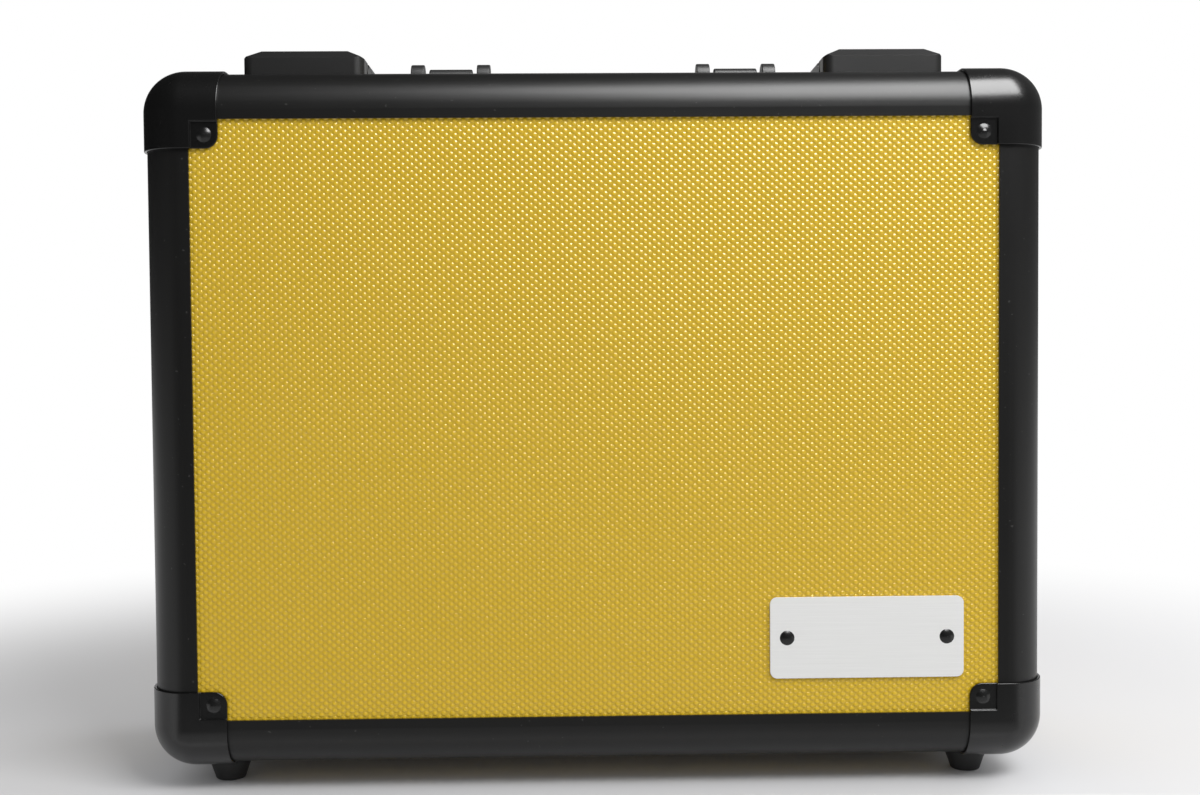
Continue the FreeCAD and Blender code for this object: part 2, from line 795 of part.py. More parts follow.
# hardware that crosses from a mouth lip to the sunk panel steps down onto it
lid_step_y = mouth_y - lid_lip_width - d["join_gap"]
base_step_y = mouth_y + base_lip + d["join_gap"]
step_z = top_z - d["lip_thick"]
bevel = d["latch_bevel_run"]


def bevelled(name, x, y, low, front_run, back_run):
    """A block up to the face height with a bevelled crown on top of it."""
    body = block(f"{name}_body", x, y, (low, latch_face))
    crown = doc.addObject("Part::Wedge", f"{name}_crown")
    crown.Placement = FreeCAD.Placement(Vector(), TURN["X"])
    bind(crown, Xmin=y[0], Xmax=y[1], Zmin=x[0], Zmax=x[1], Ymin=latch_face, Ymax=latch_top)
    bind(crown, X2min=y[0] + front_run, X2max=y[1] - back_run)
    bind(crown, Z2min=x[0] + bevel, Z2max=x[1] - bevel)
    return fuse(name, body, crown)


block_depth = block_back - latch_front
latch_block = bevelled(
    "latch_block", latch_span, (latch_front, block_back), top_z, block_depth * NOSE_BEVEL, MIDDLE
)
latch_sole = block("latch_sole", latch_span, (latch_front, lid_step_y), (step_z, top_z))
bend = block_depth * NOSE_ROUND
nose_depth = mouth_y - latch_front
nose_loop = [
    (latch_half - bend, 0.0),
    (latch_half, bend, bend, 1),
    (latch_half, nose_depth),
    (-latch_half, nose_depth),
    (-latch_half, bend),
    (bend - latch_half, 0.0, bend, 1),
]
nose_height = d["latch_height"] + d["lip_thick"]
nose_outline = extrusion("nose_outline", [nose_loop], nose_height, latch_x, latch_front, step_z, "Z")
latch_nose = common("latch_nose", fuse("nose_body", latch_block, latch_sole), nose_outline)
housing_y = (block_back, mouth_y - d["hardware_mouth_gap"])
housing_plate = block("housing_plate", latch_span, housing_y, (top_z, hardware_top))
ear_thick = d["latch_ear_thick"]
ear_radius = barrel - d["latch_ear_short"]
ear_out = latch_rivet_out - d["rivet_head_radius"] - d["latch_ear_gap"] - ear_thick / 2
housing_ears = []
for side in SIDES:
    ear_x = latch_x + side * ear_out - ear_thick / 2
    ear_span = (ear_x, ear_x + ear_thick)
    ear_y = (pivot_y - ear_radius, pivot_y + ear_radius)
    name = "housing_ear_left" if side < 0 else "housing_ear_right"
    housing_ears.append(block(f"{name}_post", ear_span, ear_y, (top_z, pivot_z)))
    housing_ears.append(rod(name, "X", ear_radius, (ear_x, pivot_y, pivot_z), ear_thick))
housing_body = fuse("housing_body", latch_nose, housing_plate, *housing_ears)
latch_bore_start = (latch_span[0] - PAST, pivot_y, pivot_z)
latch_bore = rod("latch_bore", "X", bore_radius, latch_bore_start, d["latch_width"] + 2 * PAST)
left_latch_rivets = latch_rivets[:2]
housing_holes = [drill("Z", x, y, top_z) for x, y in left_latch_rivets]
housing = keep(cut("latch_housing_left", housing_body, latch_bore, *housing_holes))
keep(mirror("latch_housing_right", housing, "X"))

# Pin through both ears and the lever.
latch_pin_half = ear_out + ear_thick
latch_pin_start = (latch_x - latch_pin_half, pivot_y, pivot_z)
latch_pin = rod("latch_pin", "X", d["pin_radius"], latch_pin_start, latch_pin_half * 2)
keep(group("latch_pins", latch_pin, mirror("latch_pin_right", latch_pin, "X")))

# Keeper on the base, with a lip that the claw of the lever drops behind.
keeper_x = (latch_x - keeper_half, latch_x + keeper_half)
lip_x = (latch_x - lip_half, latch_x + lip_half)
lip_start = mouth_y + d["latch_lever_reach"] - d["keeper_lip_back"]
lip_y = (lip_start, lip_start + d["keeper_lip_thick"])
keeper_end = lip_y[1] + d["claw_gap"] + d["claw_thick"]
keeper_y = (mouth_y + d["keeper_front"], keeper_end)
keeper_plate = block("keeper_plate", keeper_x, keeper_y, (top_z, hardware_top))
keeper_step = block("keeper_step", keeper_x, (base_step_y, keeper_end), (step_z, hardware_top))
keeper_lip = block("keeper_lip", lip_x, lip_y, (top_z, top_z + d["keeper_lip_height"]))
keeper_body = fuse("keeper_body", keeper_plate, keeper_step, keeper_lip)
keeper_holes = [drill("Z", x, y, top_z) for x, y in keeper_rivets[:2]]
keeper = keep(cut("latch_keeper_left", keeper_body, *keeper_holes))
keep(mirror("latch_keeper_right", keeper, "X"))

# Lever: a hollow cover with a barrel on the pin, notched for the ears, and a claw under its roof.
lever_end = d["latch_pivot_depth"] + d["latch_lever_reach"]
lever_loop = [
    (lever_end, -barrel),
    (lever_end, barrel),
    (MIDDLE, barrel),
    (-barrel, MIDDLE, barrel, 1),
    (MIDDLE, -barrel, barrel, 1),
]
lever_side = extrusion(
    "lever_side", [lever_loop], d["latch_width"], latch_span[0], pivot_y, pivot_z, "X"
)
lever_y = (pivot_y - barrel, pivot_y + lever_end)
lever_low = pivot_z - barrel
lever_crown = bevelled("lever_crown_block", latch_span, lever_y, lever_low, MIDDLE, bevel)
lever_outer = common("lever_outer", lever_side, lever_crown)
wall = d["latch_lever_wall"]
hollow_x = (latch_span[0] + wall, latch_span[1] - wall)
hollow_start = pivot_y + barrel + wall
hollow_top = latch_top - d["latch_lever_roof"]
hollow_y = (hollow_start, lever_y[1] - wall)
hollow = block("lever_hollow", hollow_x, hollow_y, (lever_low - PAST, hollow_top))
claw_low = top_z + d["keeper_lip_height"] + d["claw_lift"]
finger_y = (lever_y[1] - wall - PAST, lever_y[1] + PAST)
finger = block("lever_finger_gap", hollow_x, finger_y, (lever_low - PAST, claw_low))
notches = []
notch_half = ear_thick / 2 + d["latch_ear_play"]
notch_y = (lever_y[0] - PAST, pivot_y + ear_radius + d["latch_ear_play"])
notch_z = (lever_low - PAST, latch_top + PAST)
for side in SIDES:
    notch_x = latch_x + side * ear_out
    name = "lever_notch_left" if side < 0 else "lever_notch_right"
    notches.append(block(name, (notch_x - notch_half, notch_x + notch_half), notch_y, notch_z))
lever_shell = cut("lever_shell", lever_outer, hollow, finger, latch_bore, *notches)
claw_half = lip_half - d["claw_side_in"]
claw_x = (latch_x - claw_half, latch_x + claw_half)
claw_y = (lip_y[1] + d["claw_gap"], keeper_end)
claw = block("lever_claw", claw_x, claw_y, (claw_low, hollow_top + PAST))
lever = keep(fuse("latch_lever_left", lever_shell, claw))
keep(mirror("latch_lever_right", lever, "X"))

# Handle: two brackets on the base, a frame that swings on their pins, and a soft grip round its bar.
bracket_x = -bracket_out
bracket_span = (bracket_x - bracket_half, bracket_x + bracket_half)
bracket_y = (mouth_y + d["bracket_front"], mouth_y + d["bracket_front"] + d["bracket_length"])
swing_z = hardware_top + d["handle_boss_gap"] + d["handle_boss_radius"]
bracket_parts = [
    block("bracket_plate", bracket_span, bracket_y, (top_z, hardware_top)),
    block("bracket_step", bracket_span, (base_step_y, bracket_y[1]), (step_z, hardware_top)),
]
ear = d["bracket_ear_radius"]
ear_y = (swing_y - ear, swing_y + ear)
for side in SIDES:
    ear_x = bracket_span[0] if side < 0 else bracket_span[1] - d["bracket_ear_thick"]
    name = "bracket_ear_left" if side < 0 else "bracket_ear_right"
    span_x = (ear_x, ear_x + d["bracket_ear_thick"])
    bracket_parts.append(block(f"{name}_post", span_x, ear_y, (top_z, swing_z)))
    bracket_parts.append(rod(name, "X", ear, (ear_x, swing_y, swing_z), d["bracket_ear_thick"]))
bracket_body = fuse("bracket_body", *bracket_parts)
handle_bore_start = (bracket_span[0] - PAST, swing_y, swing_z)
handle_bore = rod("handle_bore", "X", bore_radius, handle_bore_start, d["bracket_width"] + 2 * PAST)
bracket_holes = [drill("Z", x, y, top_z) for x, y in bracket_rivets[:2]]
bracket = keep(cut("handle_bracket_left", bracket_body, handle_bore, *bracket_holes))
keep(mirror("handle_bracket_right", bracket, "X"))
handle_pin_start = (bracket_span[0], swing_y, swing_z)
handle_pin = rod("handle_pin", "X", d["pin_radius"], handle_pin_start, d["bracket_width"])
keep(group("handle_pins", handle_pin, mirror("handle_pin_right", handle_pin, "X")))

arm_half = bracket_half - d["bracket_ear_thick"] - d["handle_arm_play"]
arm_thick = (d["handle_boss_radius"] - d["handle_arm_short"]) * 2
arm_out = bracket_out + arm_half
arm_in = bracket_out - arm_half
bar_near = d["handle_bar_start"]
bar_far = bar_near + d["handle_bar_depth"]
outer_bend = d["handle_outer_round"]
inner_bend = d["handle_inner_round"]
handle_loop = [
    (arm_out, MIDDLE),
    (arm_out, bar_far - outer_bend),
    (arm_out - outer_bend, bar_far, outer_bend, 1),
    (outer_bend - arm_out, bar_far),
    (-arm_out, bar_far - outer_bend, outer_bend, 1),
    (-arm_out, MIDDLE),
    (-arm_in, MIDDLE),
    (-arm_in, bar_near - inner_bend),
    (inner_bend - arm_in, bar_near, inner_bend, -1),
    (arm_in - inner_bend, bar_near),
    (arm_in, bar_near - inner_bend, inner_bend, -1),
    (arm_in, MIDDLE),
]
arm_low = swing_z - arm_thick / 2
handle_yoke = extrusion("handle_yoke", [handle_loop], arm_thick, MIDDLE, swing_y, arm_low, "Z")
boss_start = (bracket_x - arm_half, swing_y, swing_z)
boss = rod("handle_boss", "X", d["handle_boss_radius"], boss_start, arm_half * 2)
handle_body = fuse("handle_body", handle_yoke, boss, mirror("handle_boss_right", boss, "X"))
keep(cut("handle_frame", handle_body, handle_bore, mirror("handle_bore_right", handle_bore, "X")))

grip_y = swing_y + bar_near + d["handle_bar_depth"] / 2
hole_y = d["handle_bar_depth"] / 2 + d["grip_play"]
hole_z = arm_thick / 2 + d["grip_play"]
hole_loop = [(hole_y, -hole_z), (hole_y, hole_z), (-hole_y, hole_z), (-hole_y, -hole_z)]
grip_loop = rounded(hole_y + d["grip_wall"], hole_z + d["grip_wall"], d["grip_round"])
grip_half = arm_in - d["grip_arm_gap"]
keep(extrusion("handle_grip", [grip_loop, hole_loop], grip_half * 2, -grip_half, grip_y, swing_z, "X"))

# Hinges under the case, in line with the mouth: two outer knuckles on the base, one on the lid.
hinge_x = -hinge_out
hinge_span = (hinge_x - hinge_half, hinge_x + hinge_half)
knuckle = d["hinge_barrel_radius"]
hinge_z = low_z - d["hinge_gap"] - knuckle
leaf_start = knuckle + d["hinge_leaf_gap"]
# the knuckles share the length in three, with a gap at each end of the middle one
outer_start = d["hinge_length"] / 6
middle_half = outer_start - d["hinge_end_gap"]
bridge_top = hinge_z + knuckle
hinge_bore_start = (hinge_span[0] - PAST, mouth_y, hinge_z)
hinge_bore = rod("hinge_bore", "X", bore_radius, hinge_bore_start, d["hinge_length"] + 2 * PAST)


def hinge_leaf(half, toward, knuckles, holes):
    near = mouth_y + toward * leaf_start
    far_side = mouth_y + toward * d["hinge_leaf_end"]
    span_y = (near, far_side) if toward > 0 else (far_side, near)
    link_y = (mouth_y, near) if toward > 0 else (near, mouth_y)
    pieces = [block(f"{half}_leaf", hinge_span, span_y, (hardware_low, low_z))]
    for number, (start, end) in enumerate(knuckles, 1):
        name = f"{half}_knuckle_{number}"
        pieces.append(rod(name, "X", knuckle, (start, mouth_y, hinge_z), end - start))
        pieces.append(block(f"{name}_link", (start, end), link_y, (hardware_low, bridge_top)))
        overlap_y = (near, near + toward * PAST) if toward > 0 else (near + toward * PAST, near)
        pieces.append(block(f"{name}_root", (start, end), overlap_y, (hardware_low, bridge_top)))
    body = fuse(f"{half}_leaf_body", *pieces)
    leaf = keep(cut(f"hinge_{half}_leaf_left", body, hinge_bore, *holes))
    keep(mirror(f"hinge_{half}_leaf_right", leaf, "X"))


middle_knuckle = [(hinge_x - middle_half, hinge_x + middle_half)]
outer_knuckles = [
    (hinge_span[0], hinge_x - outer_start),
    (hinge_x + outer_start, hinge_span[1]),
]
hinge_leaf("lid", -1, middle_knuckle, [drill("Z", x, y, low_z) for x, y in lid_hinge_spots[:3]])
hinge_leaf("base", 1, outer_knuckles, [drill("Z", x, y, low_z) for x, y in base_hinge_spots[:3]])
hinge_pin_start = (hinge_span[0], mouth_y, hinge_z)
hinge_pin = rod("hinge_pin", "X", d["pin_radius"], hinge_pin_start, d["hinge_length"])
keep(group("hinge_pins", hinge_pin, mirror("hinge_pin_right", hinge_pin, "X")))


# Lining sheets on the walls, clear of the mouth frame, and a foam pad behind each face.
def lining_end(lip_width):
    return larger(lip_width - d["inner_lip_short"], d["mouth_web_thick"]) + d["lining_gap"]


def lining(half, span_y, foam_y):
    inside = panel_in + d["lining_thick"]
    span_x = (d["rail_face"] - half_width, half_width - d["rail_face"])
    span_z = (low_z + d["rail_face"], top_z - d["rail_face"])
    top = block(f"{half}_lining_top", span_x, span_y, (top_z - inside, top_z - panel_in))
    right = block(f"{half}_lining_right", (half_width - inside, half_width - panel_in), span_y, span_z)
    low = mirror(f"{half}_lining_low", top, "Z")
    left = mirror(f"{half}_lining_left", right, "X")
    keep(group(f"{half}_wall_lining", top, low, left, right))
    keep(block(f"{half}_foam", span_x, foam_y, span_z))


lid_foam_y = front_y + panel_in
base_foam_y = back_y - panel_in
lining(
    "lid",
    (front_y + d["rail_face"], mouth_y - lining_end(lid_lip_width)),
    (lid_foam_y, lid_foam_y + d["lid_foam_thick"]),
)
lining(
    "base",
    (mouth_y + lining_end(base_lip), back_y - d["rail_face"]),
    (base_foam_y - d["base_foam_thick"], base_foam_y),
)

doc.recompute()
for obj in doc.Objects:
    if "Invalid" in obj.State or "Error" in obj.State:
        raise RuntimeError(f"{obj.Name} could not be built: {obj.State}")
os.makedirs("parts", exist_ok=True)
for node in nodes:
    shape = node.Shape
    if shape.isNull() or not shape.isValid():
        raise RuntimeError(f"{node.Label} has no valid shape")
    shape.exportStep(f"parts/{node.Label}.step")
    print(node.Label, len(shape.Solids), round(shape.Volume / 1000, 2))
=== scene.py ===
# %% [markdown]
# # A yellow storage case
#
# The case is a flat box that stands on its hinge side. Two shells of dimpled yellow board are held
# in rounded black rails, with a ball cap on every corner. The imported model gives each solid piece
# in its true place, so this lesson dresses those pieces and only rebuilds the ones whose surface
# is the point: the pressed board, the soft grip and the foam.

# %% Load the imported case
import math

import bpy
import numpy as np
from mathutils import Matrix, Vector


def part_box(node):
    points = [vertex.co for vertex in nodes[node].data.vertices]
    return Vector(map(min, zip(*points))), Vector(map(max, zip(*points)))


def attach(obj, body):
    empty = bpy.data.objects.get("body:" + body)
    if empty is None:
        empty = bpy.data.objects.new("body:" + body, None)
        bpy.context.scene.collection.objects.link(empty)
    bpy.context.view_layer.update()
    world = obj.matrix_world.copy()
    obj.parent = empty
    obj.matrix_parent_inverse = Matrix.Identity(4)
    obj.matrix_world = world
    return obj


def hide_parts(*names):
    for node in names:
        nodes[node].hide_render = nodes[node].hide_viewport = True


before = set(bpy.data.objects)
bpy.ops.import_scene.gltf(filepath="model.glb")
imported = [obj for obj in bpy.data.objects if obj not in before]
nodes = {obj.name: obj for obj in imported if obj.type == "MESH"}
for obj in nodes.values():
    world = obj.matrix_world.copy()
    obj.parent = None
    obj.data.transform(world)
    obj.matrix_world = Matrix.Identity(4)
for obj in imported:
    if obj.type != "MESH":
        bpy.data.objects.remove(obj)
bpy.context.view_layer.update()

# %% [markdown]
# ## Sums on shader sockets
#
# A shader is a web of nodes, and a sum in it takes a Math node for every sign. Those webs are hard
# to read, so a small class wraps a socket and lets Python's own signs add the nodes. Everything
# that isn't a sum comes from one method, which sets a node's settings before its sockets.


# %% A socket that takes part in sums
class Wire:
    def __init__(self, graph, socket):
        self.graph = graph
        self.socket = socket

    def sum(self, operation, first, second):
        return self.graph.add("ShaderNodeMath", {"operation": operation}, {0: first, 1: second})

    def __add__(self, other):
        return self.sum("ADD", self, other)

    def __radd__(self, other):
        return self.sum("ADD", other, self)

    def __sub__(self, other):
        return self.sum("SUBTRACT", self, other)

    def __rsub__(self, other):
        return self.sum("SUBTRACT", other, self)

    def __mul__(self, other):
        return self.sum("MULTIPLY", self, other)

    def __rmul__(self, other):
        return self.sum("MULTIPLY", other, self)


print("sockets can be added, subtracted and multiplied")


# %% One method for every other node
class Graph:
    def __init__(self, owner):
        owner.use_nodes = True
        self.tree = owner.node_tree
        self.tree.nodes.clear()

    def add(self, kind, settings=None, sockets=None, out=0):
        node = self.tree.nodes.new(kind)
        for name, value in (settings or {}).items():
            setattr(node, name, value)
        for key, value in (sockets or {}).items():
            if isinstance(value, Wire):
                self.tree.links.new(value.socket, node.inputs[key])
            else:
                node.inputs[key].default_value = value
        return Wire(self, node.outputs[out]) if len(node.outputs) else None


print("shader sums are ready")

# %% [markdown]
# ## Patterns that every finish shares
#
# Each finish needs a place to draw from, some noise and a way to blend two colours. The pieces keep
# their place in their own vertices, so object coordinates are metres on the real case, and one
# noise scale means the same size on every piece. Stretching the place first turns round noise into
# the long lines that drawing or brushing leaves.


# %% Places, noise, blends
def place(graph, stretch=None):
    where = graph.add("ShaderNodeTexCoord", out="Object")
    if stretch is None:
        return where
    return graph.add("ShaderNodeVectorMath", {"operation": "MULTIPLY"}, {0: where, 1: stretch})


def noise(graph, where, scale, detail=2.0):
    return graph.add("ShaderNodeTexNoise", {}, {"Vector": where, "Scale": scale, "Detail": detail})


def between(graph, value, low, high):
    """0 below low, 1 above high, and smooth in between."""
    return graph.add(
        "ShaderNodeMapRange",
        {"interpolation_type": "SMOOTHSTEP"},
        {"Value": value, "From Min": low, "From Max": high},
    )


def blend(graph, share, first, second):
    settings = {"data_type": "RGBA", "blend_type": "MIX"}
    return graph.add("ShaderNodeMix", settings, {0: share, 6: first, 7: second}, out=2)


def bumped(graph, height, distance, strength):
    sockets = {"Height": height, "Distance": distance, "Strength": strength}
    return graph.add("ShaderNodeBump", {}, sockets)


def finished(graph, **sockets):
    """Closes a finish with one Principled shader; socket names are written with _ for a space."""
    named = {name.replace("_", " "): value for name, value in sockets.items()}
    shader = graph.add("ShaderNodeBsdfPrincipled", {}, named)
    graph.add("ShaderNodeOutputMaterial", {}, {"Surface": shader})


def shade(name):
    material = bpy.data.materials.new(name)
    return material, Graph(material)


print("patterns are ready")

# %% [markdown]
# ## Dimpled yellow board
#
# The board is a thin hard laminate with domes pressed into it. The colour paints light on the
# domes and browner shade in the pits between them. The domes are real geometry further down, and
# carry their height as an attribute named crown, which this painted light and shade follows.

# %% Yellow laminate
# painted light and shade: a lighter yellow on the domes, a browner one in the pits
YELLOW_DOME_PAINTED_LIGHT = (0.600, 0.389, 0.008, 1.0)
YELLOW_PIT_PAINTED_SHADE = (0.495, 0.324, 0.010, 1.0)
YELLOW_CLOUDED = 0.2


def yellow_laminate():
    material, graph = shade("dimpled_yellow")
    crown = graph.add("ShaderNodeAttribute", {"attribute_name": "crown"}, out="Fac")
    cloud = noise(graph, place(graph), scale=14.0)
    grain = noise(graph, place(graph), scale=2600.0)
    # painted light on the dome tops and painted shade in the pits, by the height of each dome
    lit = between(graph, crown + YELLOW_CLOUDED * (cloud - 0.5), low=0.0, high=0.75)
    finished(
        graph,
        Base_Color=blend(graph, lit, YELLOW_PIT_PAINTED_SHADE, YELLOW_DOME_PAINTED_LIGHT),
        Roughness=0.18 + 0.06 * (grain + cloud),
        Normal=bumped(graph, grain, distance=0.00002, strength=0.3),
        Specular_IOR_Level=0.9,
    )
    return material


dimpled_yellow = yellow_laminate()
print("made", dimpled_yellow.name)

# %% [markdown]
# ## Satin black rails
#
# The rails are drawn through a die and then anodised, which leaves faint lines along their length
# and a satin sheen. Lines that run the wrong way would give the trick away, so the same finish is
# made once for each of the three directions. A few specks of dust break the black up.

# %% Drawn and anodised black
RAIL_BLACK = (0.0045, 0.0044, 0.0042, 1.0)
DUST_GREY = (0.03, 0.03, 0.029, 1.0)
LINES_ALONG = 4.0
LINES_ACROSS = 900.0


def drawn_black(axis):
    material, graph = shade(f"satin_black_{axis}")
    stretch = [LINES_ALONG if other == axis else LINES_ACROSS for other in "xyz"]
    lines = noise(graph, place(graph, stretch), scale=1.0)
    cloud = noise(graph, place(graph), scale=22.0)
    dust = noise(graph, place(graph), scale=620.0, detail=0.0)
    specks = between(graph, dust, low=0.83, high=0.87)
    finished(
        graph,
        Base_Color=blend(graph, specks, RAIL_BLACK, DUST_GREY),
        Roughness=0.33 + 0.05 * (lines + cloud),
        Normal=bumped(graph, lines, distance=0.00002, strength=0.25),
        Specular_IOR_Level=0.4,
    )
    return material


satin_black = {axis: drawn_black(axis) for axis in "xyz"}
print("made", [material.name for material in satin_black.values()])

# %% [markdown]
# ## Lacquer, moulded plastic and rubber
#
# The caps, hinges and rivets are pressed steel under black lacquer: smoother than the rails, with
# a slight orange peel. The latches and the handle are moulded, with a fine grain from the mould.
# The feet and the grip are rubber, which is duller. All of them are near black, so the difference
# lies in roughness and in the size of the grain, and one function makes them all. Where a piece is
# worn, small scuffs are lighter and duller than the rest.

# %% A near-black finish
SCUFF_GAIN = 2.6
SCUFF_LIFT = 0.01


def even_grey(level):
    return (level, level, level, 1.0)


def near_black(name, grey, roughness, grain_scale, grain_depth, worn):
    material, graph = shade(name)
    grain = noise(graph, place(graph), grain_scale, detail=3.0)
    cloud = noise(graph, place(graph), scale=30.0)
    marks = noise(graph, place(graph), scale=260.0, detail=4.0)
    scuff = between(graph, marks, low=0.66, high=0.80)
    rubbed = even_grey(grey * SCUFF_GAIN + SCUFF_LIFT)
    finished(
        graph,
        Base_Color=blend(graph, scuff * worn, even_grey(grey), rubbed),
        Roughness=roughness + 0.08 * (cloud - 0.5 + scuff),
        Normal=bumped(graph, grain, grain_depth, strength=0.5),
    )
    print("made", name)
    return material


# %% Seven near-black finishes
cap_lacquer = near_black(
    "cap_lacquer", grey=0.004, roughness=0.25, grain_scale=700.0, grain_depth=0.000012, worn=0.25
)
rivet_lacquer = near_black(
    "rivet_lacquer", grey=0.007, roughness=0.25, grain_scale=900.0, grain_depth=0.00001, worn=0.4
)
hinge_lacquer = near_black(
    "hinge_lacquer", grey=0.009, roughness=0.33, grain_scale=700.0, grain_depth=0.000015, worn=0.4
)
latch_grain = near_black(
    "latch_grain", grey=0.010, roughness=0.42, grain_scale=2400.0, grain_depth=0.00003, worn=0.2
)
handle_grain = near_black(
    "handle_grain", grey=0.012, roughness=0.45, grain_scale=2200.0, grain_depth=0.00003, worn=0.2
)
foot_rubber = near_black(
    "foot_rubber", grey=0.014, roughness=0.62, grain_scale=1500.0, grain_depth=0.00005, worn=0.5
)
grip_rubber = near_black(
    "grip_rubber", grey=0.017, roughness=0.58, grain_scale=2600.0, grain_depth=0.00004, worn=0.3
)

# %% [markdown]
# ## Brushed plate and drawn pins
#
# The name plate is bare aluminium brushed from side to side. Brushing leaves fine scratches of
# every length, so two stretched noises are laid over each other. The pins are drawn steel with
# lines along their length.

# %% Bare metal
PLATE_DARK = (0.70, 0.70, 0.69, 1.0)
PLATE_LIGHT = (0.85, 0.85, 0.84, 1.0)
BRUSH_WIDE = (14.0, 1.0, 2600.0)
BRUSH_FINE = (60.0, 1.0, 7000.0)
WIDE_SHARE = 0.6
STEEL_DARK = (0.42, 0.42, 0.43, 1.0)
STEEL_LIGHT = (0.62, 0.62, 0.63, 1.0)
STEEL_LINES = (6.0, 1600.0, 1600.0)


def brushed_plate():
    material, graph = shade("brushed_aluminium")
    wide = noise(graph, place(graph, BRUSH_WIDE), scale=1.0, detail=3.0)
    fine = noise(graph, place(graph, BRUSH_FINE), scale=1.0, detail=1.0)
    scratch = WIDE_SHARE * wide + (1 - WIDE_SHARE) * fine
    finished(
        graph,
        Base_Color=blend(graph, scratch, PLATE_DARK, PLATE_LIGHT),
        Metallic=0.3,
        Roughness=0.36 + 0.16 * scratch,
        Normal=bumped(graph, scratch, distance=0.00003, strength=0.35),
    )
    return material


def drawn_steel():
    material, graph = shade("drawn_steel")
    lines = noise(graph, place(graph, STEEL_LINES), scale=1.0)
    finished(
        graph,
        Base_Color=blend(graph, lines, STEEL_DARK, STEEL_LIGHT),
        Metallic=1.0,
        Roughness=0.25 + 0.15 * lines,
    )
    return material


brushed_aluminium = brushed_plate()
pin_steel = drawn_steel()
print("made", brushed_aluminium.name, "and", pin_steel.name)

# %% [markdown]
# ## Foam
#
# The inside is lined with dark open-cell foam. Its cells are far smaller than the foam's own waves,
# so they are drawn as bump and as small pores in painted shade, over the waves that the mesh gives.

# %% Open-cell foam
# painted shade: the pores are a darker grey than the foam round them
PORE_PAINTED_SHADE = (0.012, 0.012, 0.013, 1.0)
FOAM_GREY = (0.045, 0.045, 0.048, 1.0)
CELL_SCALE = 900.0
CELL_CLOUDED = 0.15


def open_cells():
    material, graph = shade("open_cell_foam")
    sockets = {"Vector": place(graph), "Scale": CELL_SCALE}
    cells = graph.add("ShaderNodeTexVoronoi", {"feature": "F1"}, sockets)
    cloud = noise(graph, place(graph), scale=40.0)
    # the pore mask gives the painted shade in the colour, and also the bump
    pores = between(graph, cells + CELL_CLOUDED * cloud, low=0.15, high=0.6)
    finished(
        graph,
        Base_Color=blend(graph, pores, PORE_PAINTED_SHADE, FOAM_GREY),
        Roughness=0.85 + 0.1 * cloud,
        Normal=bumped(graph, pores, distance=0.0003, strength=0.6),
        Sheen_Weight=0.15,
    )
    return material


foam_cells = open_cells()
print("made", foam_cells.name)

# %% [markdown]
# ## Finishes onto the solid pieces
#
# Most solid pieces already have the right shape, so they only take a finish. A piece that came
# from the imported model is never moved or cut; setting its material is enough.


# %% Dress the solid pieces
def wear(node, material):
    node.data.materials.clear()
    node.data.materials.append(material)


FINISH_BY_ENDING = {
    "_top_rail": satin_black["x"],
    "_bottom_rail": satin_black["x"],
    "_left_rail": satin_black["z"],
    "_right_rail": satin_black["z"],
    "_edge_posts": satin_black["y"],
    "_mouth_frame": satin_black["x"],
    "_feet": foot_rubber,
    "rivets": rivet_lacquer,
    "_pins": pin_steel,
    "name_plate": brushed_aluminium,
}
FINISH_BY_START = {
    "latch_housing": latch_grain,
    "latch_lever": latch_grain,
    "latch_keeper": hinge_lacquer,
    "hinge_lid": hinge_lacquer,
    "hinge_base": hinge_lacquer,
    "handle_bracket": handle_grain,
    "handle_frame": handle_grain,
    "lid_corner": cap_lacquer,
    "base_corner": cap_lacquer,
}
dressed = 0
for name, node in nodes.items():
    finish = [value for ending, value in FINISH_BY_ENDING.items() if name.endswith(ending)]
    finish += [value for start, value in FINISH_BY_START.items() if name.startswith(start)]
    if finish:
        wear(node, finish[0])
        dressed += 1
print("dressed", dressed, "solid pieces")

# %% [markdown]
# ## Eased edges
#
# Moulded and pressed pieces never have razor edges, and the thin line of light on an eased edge is
# what makes them look solid. A bevel on the sharp edges gives it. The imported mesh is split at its
# edges, so its points are welded first, and weighted normals keep the flat faces flat.

# %% Bevel the hardware
WELD_REACH = 0.000002
SHARP_ANGLE = math.radians(32)
EASED = {
    "latch_housing": 0.0005,
    "latch_lever": 0.0005,
    "latch_keeper": 0.0003,
    "handle_bracket": 0.0005,
    "handle_frame": 0.0008,
    "name_plate": 0.00025,
    "lid_corner": 0.0004,
    "base_corner": 0.0004,
}


def ease_edges(node, width):
    weld = node.modifiers.new("joined", "WELD")
    weld.merge_threshold = WELD_REACH
    bevel = node.modifiers.new("eased", "BEVEL")
    bevel.width = width
    bevel.segments = 2
    bevel.limit_method = "ANGLE"
    bevel.angle_limit = SHARP_ANGLE
    flat = node.modifiers.new("flat faces", "WEIGHTED_NORMAL")
    flat.keep_sharp = False


eased = 0
for name, node in nodes.items():
    for start, width in EASED.items():
        if name.startswith(start) and not name.endswith("rivets"):
            ease_edges(node, width)
            eased += 1
print("eased the edges of", eased, "pieces")

# %% [markdown]
# ## Boards and pads
#
# The yellow boards, the foam pads and the wall strips are all flat slabs with one lively face, so
# they share a frame of reference. A slab knows its box, which way it is thin and which way it faces
# out. It turns a place across and up into a point in space, and a slope into a normal.


